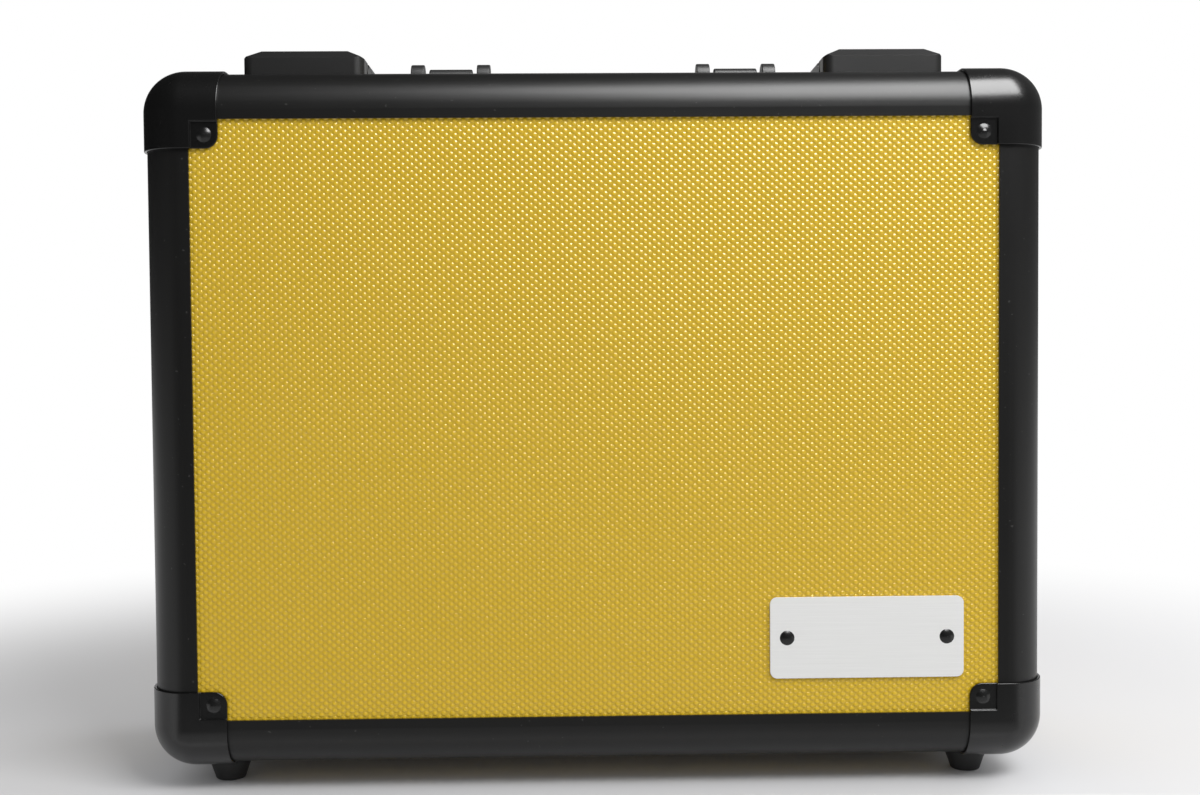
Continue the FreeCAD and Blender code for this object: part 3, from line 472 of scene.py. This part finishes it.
# %% A slab with one lively face
class Slab:
    def __init__(self, low, high, axis, outward):
        self.low, self.high = low, high
        self.axis, self.outward = axis, outward
        self.across, self.up = [index for index in range(3) if index != axis]
        # X and Z follow from the other two axes by the right hand, Y by the left
        self.turned = outward * (-1 if axis == 1 else 1) < 0

    def points(self, u, v, depth):
        """Points u across and v up, at a depth under the outward face."""
        face = self.high[self.axis] if self.outward > 0 else self.low[self.axis]
        places = np.zeros((len(u), 3))
        places[:, self.across], places[:, self.up] = u, v
        places[:, self.axis] = face - self.outward * depth
        return places

    def normals(self, slope_u, slope_v):
        """Normals of the outward face where it rises by these slopes across and up."""
        facing = np.zeros((len(slope_u), 3))
        facing[:, self.across], facing[:, self.up] = -slope_u, -slope_v
        facing[:, self.axis] = self.outward
        return facing / np.linalg.norm(facing, axis=1)[:, None]

    def lines(self, axis, step):
        """Places along an axis at whole steps, and the two ends at least one step further out."""
        first = math.ceil(self.low[axis] / step) + 1
        last = math.floor(self.high[axis] / step) - 1
        inner = np.arange(first, last + 1) * step
        return np.concatenate(([self.low[axis]], inner, [self.high[axis]]))


class Face:
    """The lively face of a slab: its points, faces, a normal for each corner, and crowns."""

    def __init__(self, points, number, faces, normals, crown):
        self.points, self.number = points, number
        self.faces, self.normals, self.crown = faces, normals, crown


print("slabs are ready")

# %% [markdown]
# ## Domes in rows
#
# The domes could be faked with bump, but they throw small shadows and catch the light at the rim of
# the board, so they are modelled. A grid of points is laid over the board, and every second point
# becomes the top of a dome, with a ring of eight points round it where the dome meets the flat
# ground. Eight flat facets would look coarse, so the facets get the normals of a ball instead:
# straight up at the top and steep at the ring, which the shader blends into a round dome. The
# ground leans a little at the ring too, because a pressed dome has no crisp foot.

# %% Where the domes stand
DOME_SIDES = 8
DOME_RING = np.arange(DOME_SIDES) * 2 * math.pi / DOME_SIDES


class Domes:
    def __init__(self, pitch, row, radius, rise):
        self.pitch, self.row = pitch, row
        self.radius, self.rise = radius, rise
        ball = (radius ** 2 + rise ** 2) / (2 * rise)
        self.steepness = radius / math.sqrt(ball ** 2 - radius ** 2)


class DomeGrid:
    """A board's points by number: the crossings of a grid, then a ring round the top of each dome."""

    def __init__(self, slab, domes):
        lines_u = slab.lines(slab.across, domes.pitch / 2)
        lines_v = slab.lines(slab.up, domes.row)
        self.number = np.arange(len(lines_u) * len(lines_v)).reshape(len(lines_u), len(lines_v))
        self.i, self.j = np.indices(self.number.shape)
        self.even = (self.i + self.j) % 2 == 0
        self.inside = np.zeros(self.number.shape, bool)
        self.inside[1:-1, 1:-1] = True
        self.tops = self.even & self.inside
        self.top_i, self.top_j = np.nonzero(self.tops)
        ring_u = lines_u[self.top_i][:, None] + domes.radius * np.cos(DOME_RING)
        ring_v = lines_v[self.top_j][:, None] + domes.radius * np.sin(DOME_RING)
        self.ring = self.number.size + np.arange(ring_u.size).reshape(-1, DOME_SIDES)
        self.u = np.concatenate((lines_u[self.i].ravel(), ring_u.ravel()))
        self.v = np.concatenate((lines_v[self.j].ravel(), ring_v.ravel()))
        self.crown = np.concatenate((self.tops.ravel().astype(float), np.zeros(ring_u.size)))

    def slopes(self, steepness):
        """Slopes of a ball, across and up: none at the crossings, full at the rings."""
        level = np.zeros(self.number.size)
        slope_u = np.tile(-steepness * np.cos(DOME_RING), len(self.ring))
        slope_v = np.tile(-steepness * np.sin(DOME_RING), len(self.ring))
        return np.concatenate((level, slope_u)), np.concatenate((level, slope_v))


print("each dome has", DOME_SIDES, "points round its top")

# %% A face of round domes
DOME_FOOT = 0.1
# a quarter's side across, its side up, and its three points on the ring
QUARTERS = [(1, 1, 0, 1, 2), (-1, 1, 4, 3, 2), (-1, -1, 4, 5, 6), (1, -1, 0, 7, 6)]


def dome_quarter(grid, side_u, side_v, ring_places):
    """Triangles of one quarter of every dome: those on the dome, and those on the ground by it."""
    top = grid.number[grid.tops]
    pit_u = grid.number[grid.top_i + side_u, grid.top_j]
    pit_v = grid.number[grid.top_i, grid.top_j + side_v]
    a, b, c = (grid.ring[:, ring_place] for ring_place in ring_places)
    return [(top, a, b), (top, b, c)], [(a, pit_u, b), (pit_u, pit_v, b), (b, pit_v, c)]


def rim_quarter(grid, side_u, side_v):
    """Triangles of the ground along the rim of the board, where no dome stands."""
    wide, tall = grid.number.shape
    next_i, next_j = grid.i + side_u, grid.j + side_v
    on_board = (next_i >= 0) & (next_i < wide) & (next_j >= 0) & (next_j < tall)
    plain = grid.even & ~grid.inside & on_board
    beside = grid.number[next_i[plain], grid.j[plain]]
    above = grid.number[grid.i[plain], next_j[plain]]
    return [(grid.number[plain], beside, above)]


def domed_face(slab, domes):
    grid = DomeGrid(slab, domes)
    slope_u, slope_v = grid.slopes(domes.steepness)
    round_normals = slab.normals(slope_u, slope_v)
    foot_normals = slab.normals(DOME_FOOT * slope_u, DOME_FOOT * slope_v)
    flat_normals = slab.normals(0 * slope_u, 0 * slope_v)
    faces, normals = [], []
    for side_u, side_v, *ring_places in QUARTERS:
        on_dome, on_ground = dome_quarter(grid, side_u, side_v, ring_places)
        on_rim = rim_quarter(grid, side_u, side_v)
        looks = ((on_dome, round_normals), (on_ground, foot_normals), (on_rim, flat_normals))
        for triangles, point_normals in looks:
            for corners in triangles:
                # a mirrored quarter runs the other way round
                corners = corners[::-1] if side_u * side_v < 0 else corners
                faces.append(np.stack(corners, axis=1))
                normals.append(point_normals[faces[-1]])
    points = slab.points(grid.u, grid.v, domes.rise * (1 - grid.crown))
    return Face(points, grid.number, np.concatenate(faces), np.concatenate(normals), grid.crown)


print("domes are ready")

# %% [markdown]
# ## Waves in foam
#
# Foam is cut in long waves. Where the wave across and the wave up agree there is a hill, and where
# they don't there is a hollow, so a product of two cosines gives the whole face. Its exact slope is
# known too, and goes to the shader as normals, so that the grid doesn't show.


# %% A waved face
class Waves:
    def __init__(self, pitch, rise, steps):
        self.pitch, self.rise, self.steps = pitch, rise, steps


def waved_face(slab, waves):
    lines_u = slab.lines(slab.across, waves.pitch / waves.steps)
    lines_v = slab.lines(slab.up, waves.pitch / waves.steps)
    number = np.arange(len(lines_u) * len(lines_v)).reshape(len(lines_u), len(lines_v))
    u, v = (part.ravel() for part in np.meshgrid(lines_u, lines_v, indexing="ij"))
    turn = 2 * math.pi / waves.pitch
    crown = (1 + np.cos(turn * u) * np.cos(turn * v)) / 2
    slope_u = -waves.rise / 2 * turn * np.sin(turn * u) * np.cos(turn * v)
    slope_v = -waves.rise / 2 * turn * np.cos(turn * u) * np.sin(turn * v)
    corners = [number[:-1, :-1], number[1:, :-1], number[1:, 1:], number[:-1, 1:]]
    faces = np.stack([part.ravel() for part in corners], axis=1)
    points = slab.points(u, v, waves.rise * (1 - crown))
    return Face(points, number, faces, slab.normals(slope_u, slope_v)[faces], crown)


print("waves are ready")

# %% [markdown]
# ## From a face to a closed piece
#
# A lone face has no thickness, so each slab gets a flat back and four edges. A piece may be made of
# several slabs. It also gets a flat map for baking, laid out straight from the places on the board,
# because an automatic one would cut every dome apart: the lively face fills most of the map, and
# the plain back and the edges have narrow strips beside it.

# %% Lay out the map
MAP_FACE = 0.94
MAP_BACK = (0.95, 0.97)
MAP_EDGES = (0.975, 0.995)
MAP_FILL = 0.8


def map_strips(slab):
    """For the four edges and the back: the axes along and up a strip, its start and its width."""
    width = (MAP_EDGES[1] - MAP_EDGES[0]) / 4
    strips = []
    for index, along in enumerate((slab.across, slab.up, slab.across, slab.up)):
        strips.append((along, slab.axis, MAP_EDGES[0] + width * index, width))
    strips.append((slab.across, slab.up, MAP_BACK[0], MAP_BACK[1] - MAP_BACK[0]))
    return strips


def map_places(slab, points, faces, edges):
    low, high = np.array(slab.low), np.array(slab.high)
    share = (points - low) / (high - low)
    places = [share[faces.ravel()][:, [slab.across, slab.up]] * (1, MAP_FACE)]
    for edge, (along, up, start, width) in zip(edges, map_strips(slab)):
        strip = share[edge]
        places.append(np.stack((strip[:, along], start + MAP_FILL * width * strip[:, up]), axis=1))
    return np.concatenate(places)


print("the lively face takes", MAP_FACE, "of its map")


# %% Close the slabs
def closed_slab(slab, face):
    """Points, faces, corner normals, crowns and map places of a slab with a back and four edges."""
    number, start = face.number, len(face.points)
    back_u = np.array([slab.low[slab.across], slab.high[slab.across]])[[0, 1, 1, 0]]
    back_v = np.array([slab.low[slab.up], slab.high[slab.up]])[[0, 0, 1, 1]]
    thick = slab.high[slab.axis] - slab.low[slab.axis]
    points = np.concatenate((face.points, slab.points(back_u, back_v, thick)))
    back = [start + index for index in range(4)]
    edges = [
        [back[0], back[1], *number[::-1, 0]],
        [back[1], back[2], *number[-1, ::-1]],
        [back[2], back[3], *number[:, -1]],
        [back[3], back[0], *number[0, :]],
        [back[0], back[3], back[2], back[1]],
    ]
    facing = np.zeros((len(edges), 3))
    facing[[0, 2], slab.up] = -1, 1
    facing[[1, 3], slab.across] = 1, -1
    facing[4, slab.axis] = -slab.outward
    faces, normals = face.faces, face.normals
    if slab.turned:
        faces, normals = faces[:, ::-1], normals[:, ::-1]
        edges = [edge[::-1] for edge in edges]
    flat = [np.repeat(facing[[index]], len(edge), 0) for index, edge in enumerate(edges)]
    normals = np.concatenate((normals.reshape(-1, 3), *flat))
    crown = np.concatenate((face.crown, np.zeros(len(back))))
    return points, faces.tolist() + edges, normals, crown, map_places(slab, points, faces, edges)


print("slabs can be closed")


# %% From slabs to one piece
def settle(name, mesh, material, body, slot, *stands_for):
    """Puts a finished mesh into the scene, on its body and in place of its solid pieces."""
    mesh.materials.append(material)
    piece = bpy.data.objects.new(name, mesh)
    bpy.context.scene.collection.objects.link(piece)
    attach(piece, body)
    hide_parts(*stands_for)
    print("made", name, "with", len(mesh.polygons), "faces")
    return piece


def slab_piece(name, slabs, *settled):
    points, faces, normals, crowns, places = [], [], [], [], []
    for slab_points, slab_faces, slab_normals, slab_crown, slab_places in slabs:
        start = sum(len(part) for part in points)
        points.append(slab_points)
        faces += [[int(index) + start for index in face] for face in slab_faces]
        normals.append(slab_normals)
        crowns.append(slab_crown)
        # several slabs lie side by side on one map
        places.append((slab_places + (len(places), 0)) / (len(slabs), 1))
    mesh = bpy.data.meshes.new(name)
    mesh.from_pydata(np.concatenate(points), [], faces)
    mesh.polygons.foreach_set("use_smooth", np.ones(len(mesh.polygons), bool))
    mesh.normals_split_custom_set(np.concatenate(normals))
    crown = mesh.attributes.new("crown", "FLOAT", "POINT")
    crown.data.foreach_set("value", np.concatenate(crowns).astype(np.float32))
    flat_map = mesh.uv_layers.new(name="OFBake")
    flat_map.data.foreach_set("uv", np.concatenate(places).ravel().astype(np.float32))
    return settle(name, mesh, *settled)


print("slabs can become pieces")

# %% [markdown]
# ## The ten yellow boards
#
# Each half has one broad board and four walls. All of them are cut from the same stock, so they
# share one pattern, and only the side that faces out is pressed.

# %% Press the boards
DIMPLES = Domes(pitch=0.00425, row=0.001776, radius=0.00128, rise=0.00038)
# the axis through each board, and which way along it is out
OUTWARD = {
    "face_panel": (1, -1),
    "back_panel": (1, 1),
    "left_wall": (0, -1),
    "right_wall": (0, 1),
    "bottom_wall": (2, -1),
    "top_wall": (2, 1),
}
for name in sorted(nodes):
    for ending, (axis, outward) in OUTWARD.items():
        if name.endswith(ending):
            slab = Slab(*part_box(name), axis, outward)
            board = closed_slab(slab, domed_face(slab, DIMPLES))
            body = "lid" if name.startswith("lid") else "base"
            slab_piece(f"{name}_board", [board], dimpled_yellow, body, "panel_yellow", name)

# %% [markdown]
# ## Foam inside
#
# The lid holds a thick pad with deep waves that press on what is packed, and the base a thinner,
# nearly flat one. Thin strips line the walls.

# %% Foam pads
LID_WAVES = Waves(pitch=0.040, rise=0.009, steps=12)
BASE_WAVES = Waves(pitch=0.060, rise=0.0012, steps=12)


def pad(half, outward, waves):
    node = f"{half}_foam"
    slab = Slab(*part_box(node), 1, outward)
    sheets = [closed_slab(slab, waved_face(slab, waves))]
    piece = slab_piece(f"{half}_pad", sheets, foam_cells, half, "lining_foam", node)


pad("lid", 1, LID_WAVES)
pad("base", -1, BASE_WAVES)

# %% Wall strips
STRIP_WAVES = Waves(pitch=0.024, rise=0.0006, steps=6)
STRIP_THICK = 0.003
STRIP_SHORT = 0.0188


def strips(half):
    """Four strips inside the walls, each waved on the side toward the middle."""
    node = f"{half}_wall_lining"
    low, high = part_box(node)
    sheets = []
    for axis, other in ((0, 2), (2, 0)):
        for outward in (-1, 1):
            near, far = Vector(low), Vector(high)
            near[other] += STRIP_SHORT
            far[other] -= STRIP_SHORT
            if outward > 0:
                far[axis] = near[axis] + STRIP_THICK
            else:
                near[axis] = far[axis] - STRIP_THICK
            slab = Slab(near, far, axis, outward)
            sheets.append(closed_slab(slab, waved_face(slab, STRIP_WAVES)))
    piece = slab_piece(f"{half}_wall_strips", sheets, foam_cells, half, "lining_foam", node)


strips("lid")
strips("base")

# %% [markdown]
# ## Soft grip
#
# The grip is a rubber sleeve round the bar of the handle, with shallow rings for the fingers. It is
# lofted: one rounded section is repeated along the bar, a little smaller in each ring and at the
# two ends, and the sections are joined by strips of faces.

# %% Sections of the sleeve
RING_DEPTH = 0.0007
RING_PITCH = 0.0058
RING_REACH = 0.041
RING_SHARPNESS = 3
END_ROUND = 0.0028
END_STEPS = 6
STATION_STEP = 0.0006
CORNER_ROUND = 0.0055
CORNER_LOSS = 0.003
CORNER_STEPS = 8


def sleeve_section(half_y, half_z, bend):
    """A rectangle with rounded corners, as points round its middle."""
    section = []
    for corner, (sign_y, sign_z) in enumerate(((1, 1), (-1, 1), (-1, -1), (1, -1))):
        for step in range(CORNER_STEPS + 1):
            angle = math.pi / 2 * (corner + step / CORNER_STEPS)
            y = sign_y * (half_y - bend) + bend * math.cos(angle)
            z = sign_z * (half_z - bend) + bend * math.sin(angle)
            section.append((y, z))
    return section


def sleeve_inset(x, half):
    """How far the sleeve is drawn in at x, by its rounded ends and by its rings."""
    to_end = half - abs(x)
    inset = 0.0
    if to_end < END_ROUND:
        inset = END_ROUND - math.sqrt(END_ROUND ** 2 - (END_ROUND - to_end) ** 2)
    if abs(x) < RING_REACH:
        hollow = 0.5 - 0.5 * math.cos(2 * math.pi * x / RING_PITCH)
        inset += RING_DEPTH * hollow ** RING_SHARPNESS
    return inset


def sleeve_stations(half):
    """Places of the sections along the bar, closest together at its rounded ends."""
    turns = [math.pi / 2 * k / END_STEPS for k in range(END_STEPS)]
    ends = [-half + END_ROUND * (1 - math.cos(turn)) for turn in turns]
    count = int((half - END_ROUND) / STATION_STEP)
    run = [-half + END_ROUND + k * STATION_STEP for k in range(count)]
    return ends + run + [0.0] + [-x for x in reversed(ends + run)]


print("rings of the grip every", RING_PITCH, "m")


# %% Loft the sleeve
def lofted(sections, count):
    """Faces between so many sections of count points each, and the two flat ends."""
    faces = []
    for ring in range(sections - 1):
        for k in range(count):
            a, b = ring * count + k, ring * count + (k + 1) % count
            faces.append((a, b, b + count, a + count))
    faces.append(tuple(range(count))[::-1])
    faces.append(tuple(range((sections - 1) * count, sections * count)))
    return faces


def soft_grip():
    low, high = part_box("handle_grip")
    middle, half = (low + high) / 2, (high - low) / 2
    stations = sleeve_stations(half.x)
    points = []
    for x in stations:
        inset = sleeve_inset(x, half.x)
        bend = CORNER_ROUND - min(inset, CORNER_LOSS)
        section = sleeve_section(half.y - inset, half.z - inset, bend)
        points += [(middle.x + x, middle.y + y, middle.z + z) for y, z in section]
    faces = lofted(len(stations), len(section))
    mesh = bpy.data.meshes.new("soft_grip")
    mesh.from_pydata(points, [], faces)
    smooth = np.ones(len(faces), bool)
    smooth[-2:] = False
    mesh.polygons.foreach_set("use_smooth", smooth)
    settle("soft_grip", mesh, grip_rubber, "handle", "grip_rubber", "handle_grip")


soft_grip()

# %% [markdown]
# ## Floor
#
# The case stands on a plain pale floor that turns white with the distance. Its lid is hinged along
# the bottom and swings down past the feet, as it does over the edge of a table, so the floor has a
# flared gap in front, with a white rim that hides it. The narrow strip left under the lid carries
# the shadow of the closed case. It looks for anything that lies below it, with the node for ambient
# occlusion turned inside out, and turns clear over an open lid.

# %% Floor that gives way to the lid
FLOOR_PALE = (0.58, 0.58, 0.59, 1.0)
FLOOR_FADE = (0.36, 0.8)
GAP_HALF = 0.24
GAP_FLARE = 0.8
GAP_RIM = (0.086, 0.099)
LID_REACH = 0.5
LID_LOOKS = 24
LID_FOUND = 0.03
SEEN_RAYS = ("Camera", "Glossy", "Transmission")


def white_share(graph, where):
    """How far the floor has turned white: with the distance, and round the gap for the lid."""
    away = graph.add("ShaderNodeVectorMath", {"operation": "LENGTH"}, {0: where}, out="Value")
    across = graph.add("ShaderNodeSeparateXYZ", {}, {0: where}, out="X")
    ahead = 0.0 - graph.add("ShaderNodeSeparateXYZ", {}, {0: where}, out="Y")
    aside = graph.add("ShaderNodeMath", {"operation": "ABSOLUTE"}, {0: across}) - GAP_HALF
    aside = graph.add("ShaderNodeMath", {"operation": "MAXIMUM"}, {0: aside, 1: 0.0})
    far_off = between(graph, away, *FLOOR_FADE)
    near_gap = between(graph, ahead, GAP_RIM[0], GAP_RIM[1] + GAP_FLARE * aside)
    return far_off + near_gap - far_off * near_gap


def over_open_lid(graph):
    """1 where something lies below the floor, and 0 where nothing does."""
    settings = {"inside": True, "samples": LID_LOOKS}
    sockets = {"Distance": LID_REACH}
    free_below = graph.add("ShaderNodeAmbientOcclusion", settings, sockets, out="AO")
    return between(graph, 1.0 - free_below, 0.0, LID_FOUND)


def pale_floor():
    material, graph = shade("pale_floor")
    seen = [graph.add("ShaderNodeLightPath", out=f"Is {ray} Ray") for ray in SEEN_RAYS]
    white = white_share(graph, place(graph)) * (seen[0] + seen[1] + seen[2])
    sockets = {"Base Color": FLOOR_PALE, "Roughness": 0.85}
    ground = graph.add("ShaderNodeBsdfPrincipled", {}, sockets)
    glow = graph.add("ShaderNodeEmission", {}, {"Strength": 1.0})
    pale = graph.add("ShaderNodeMixShader", {}, {0: white, 1: ground, 2: glow})
    gone = graph.add("ShaderNodeBsdfTransparent")
    shares = {0: over_open_lid(graph), 1: pale, 2: gone}
    surface = graph.add("ShaderNodeMixShader", {}, shares)
    graph.add("ShaderNodeOutputMaterial", {}, {"Surface": surface})
    return material


floor_finish = pale_floor()
print("made", floor_finish.name)

# %% Lay the floor
FLOOR_REACH = 4.0
GAP_FRONT = 0.1


def gapped_floor():
    flare = GAP_HALF + GAP_FLARE * (FLOOR_REACH - GAP_FRONT)
    right = [
        (GAP_HALF, -GAP_FRONT),
        (flare, -FLOOR_REACH),
        (FLOOR_REACH, -FLOOR_REACH),
        (FLOOR_REACH, FLOOR_REACH),
    ]
    outline = right + [(-x, y) for x, y in reversed(right)]
    mesh = bpy.data.meshes.new("floor")
    mesh.from_pydata([(x, y, 0) for x, y in outline], [], [range(len(outline))])
    mesh.materials.append(floor_finish)
    floor = bpy.data.objects.new("floor", mesh)
    bpy.context.scene.collection.objects.link(floor)
    floor.visible_shadow = False


gapped_floor()
print("made the floor,", 2 * FLOOR_REACH, "m across")

# %% [markdown]
# ## Sky and lamps
#
# The sky is white to the eye and behind the case, so that it shows in glossy edges as well. On the
# camera's side the reflected room is dim, darker to the left, which keeps the black pieces black,
# and a pale table lies in front, which draws the fine lines of light on the tabs of the caps. One
# lamp above lights the face, and one behind on the right throws the shadow to the left and lights
# the back. Both of them light matt surfaces only. A broad white card above shows in gloss only: it
# draws the bright band along the top rail and puts a light on every dome.

# %% White sky, dim room
ROOM_LIGHT = 0.76
ROOM_LEFT = 0.01
ROOM_RIGHT = 0.16
TABLE_LIGHT = 0.6
# parts of a direction between which one light gives way to the next
LEFT_TO_RIGHT = (-0.6, 0.9)
ROOM_TO_TABLE = (0.1, 0.5)
ROOM_TO_BEHIND = (0.8, 1.0)


def mirrored_room(graph):
    """How light the room looks to gloss in each direction."""
    direction = graph.add("ShaderNodeTexCoord", out="Generated")
    side = graph.add("ShaderNodeSeparateXYZ", {}, {0: direction}, out="X")
    depth = graph.add("ShaderNodeSeparateXYZ", {}, {0: direction}, out="Y")
    height = graph.add("ShaderNodeSeparateXYZ", {}, {0: direction}, out="Z")
    room = ROOM_LEFT + (ROOM_RIGHT - ROOM_LEFT) * between(graph, side, *LEFT_TO_RIGHT)
    front = room + (TABLE_LIGHT - room) * between(graph, 0.0 - height, *ROOM_TO_TABLE)
    return front + (1.0 - front) * between(graph, depth, *ROOM_TO_BEHIND)


def white_sky():
    sky = bpy.data.worlds.new("white_sky")
    bpy.context.scene.world = sky
    graph = Graph(sky)
    camera_sees = graph.add("ShaderNodeLightPath", out="Is Camera Ray")
    glass_sees = graph.add("ShaderNodeLightPath", out="Is Transmission Ray")
    gloss_sees = graph.add("ShaderNodeLightPath", out="Is Glossy Ray")
    lit = gloss_sees * mirrored_room(graph) + (1.0 - gloss_sees) * ROOM_LIGHT
    white = camera_sees + glass_sees
    strength = white + (1.0 - white) * lit
    shader = graph.add("ShaderNodeBackground", {}, {"Color": (1, 1, 1, 1), "Strength": strength})
    graph.add("ShaderNodeOutputWorld", {}, {"Surface": shader})


white_sky()
print("room light", ROOM_LIGHT)


# %% Soft lamps
def soft_lamp(name, spot, aim, size, watts, shines_on):
    lamp = bpy.data.lights.new(name, "AREA")
    lamp.shape = "RECTANGLE"
    lamp.size, lamp.size_y = size
    lamp.energy = watts
    holder = bpy.data.objects.new(name, lamp)
    bpy.context.scene.collection.objects.link(holder)
    holder.location = spot
    holder.rotation_euler = (Vector(aim) - Vector(spot)).to_track_quat("-Z", "Y").to_euler()
    holder.visible_diffuse = shines_on == "matt"
    holder.visible_glossy = shines_on == "gloss"
    print(name, watts, "W")


soft_lamp(
    "lamp_above",
    spot=(0.6, -0.72, 1.06),
    aim=(0.1, -0.07, 0.25),
    size=(0.8, 0.45),
    watts=14.2,
    shines_on="matt",
)
soft_lamp(
    "lamp_behind",
    spot=(1.3, 0.7, 0.8),
    aim=(0.1, 0.0, 0.1),
    size=(0.8, 0.8),
    watts=8.0,
    shines_on="matt",
)
soft_lamp(
    "white_card",
    spot=(0.42, -0.58, 1.19),
    aim=(0.1, -0.07, 0.34),
    size=(0.9, 0.76),
    watts=30.0,
    shines_on="gloss",
)

# %% [markdown]
# ## Camera
#
# The camera stands a little left of the middle and lower than the top of the case, so the lid's
# face is seen almost square on and the top only by what stands up from it. Its place, turn and
# lens were worked out from the corners of the yellow board.

# %% Set the camera
EYE = Vector((-0.0111, -0.7527, 0.2163))
TILT = math.radians(-1.98)
ROLL = math.radians(0.44)
TURN = math.radians(-1.04)
LENS = 42.0
SENSOR = 36.0
NEAREST = 0.01

camera_data = bpy.data.cameras.new("camera")
camera_data.lens = LENS
camera_data.sensor_width = SENSOR
camera_data.sensor_fit = "HORIZONTAL"
camera_data.clip_start = NEAREST
camera = bpy.data.objects.new("camera", camera_data)
bpy.context.scene.collection.objects.link(camera)
turned = Matrix.Rotation(TURN, 3, "Z")
turned = turned @ Matrix.Rotation(ROLL, 3, "Y") @ Matrix.Rotation(TILT, 3, "X")
right, forward, upward = turned.col
looking = Matrix((right, upward, -forward)).transposed().to_4x4()
camera.matrix_world = Matrix.Translation(EYE) @ looking
bpy.context.scene.camera = camera
bpy.context.scene.view_settings.view_transform = "Standard"
print("camera at", tuple(round(value, 3) for value in EYE))
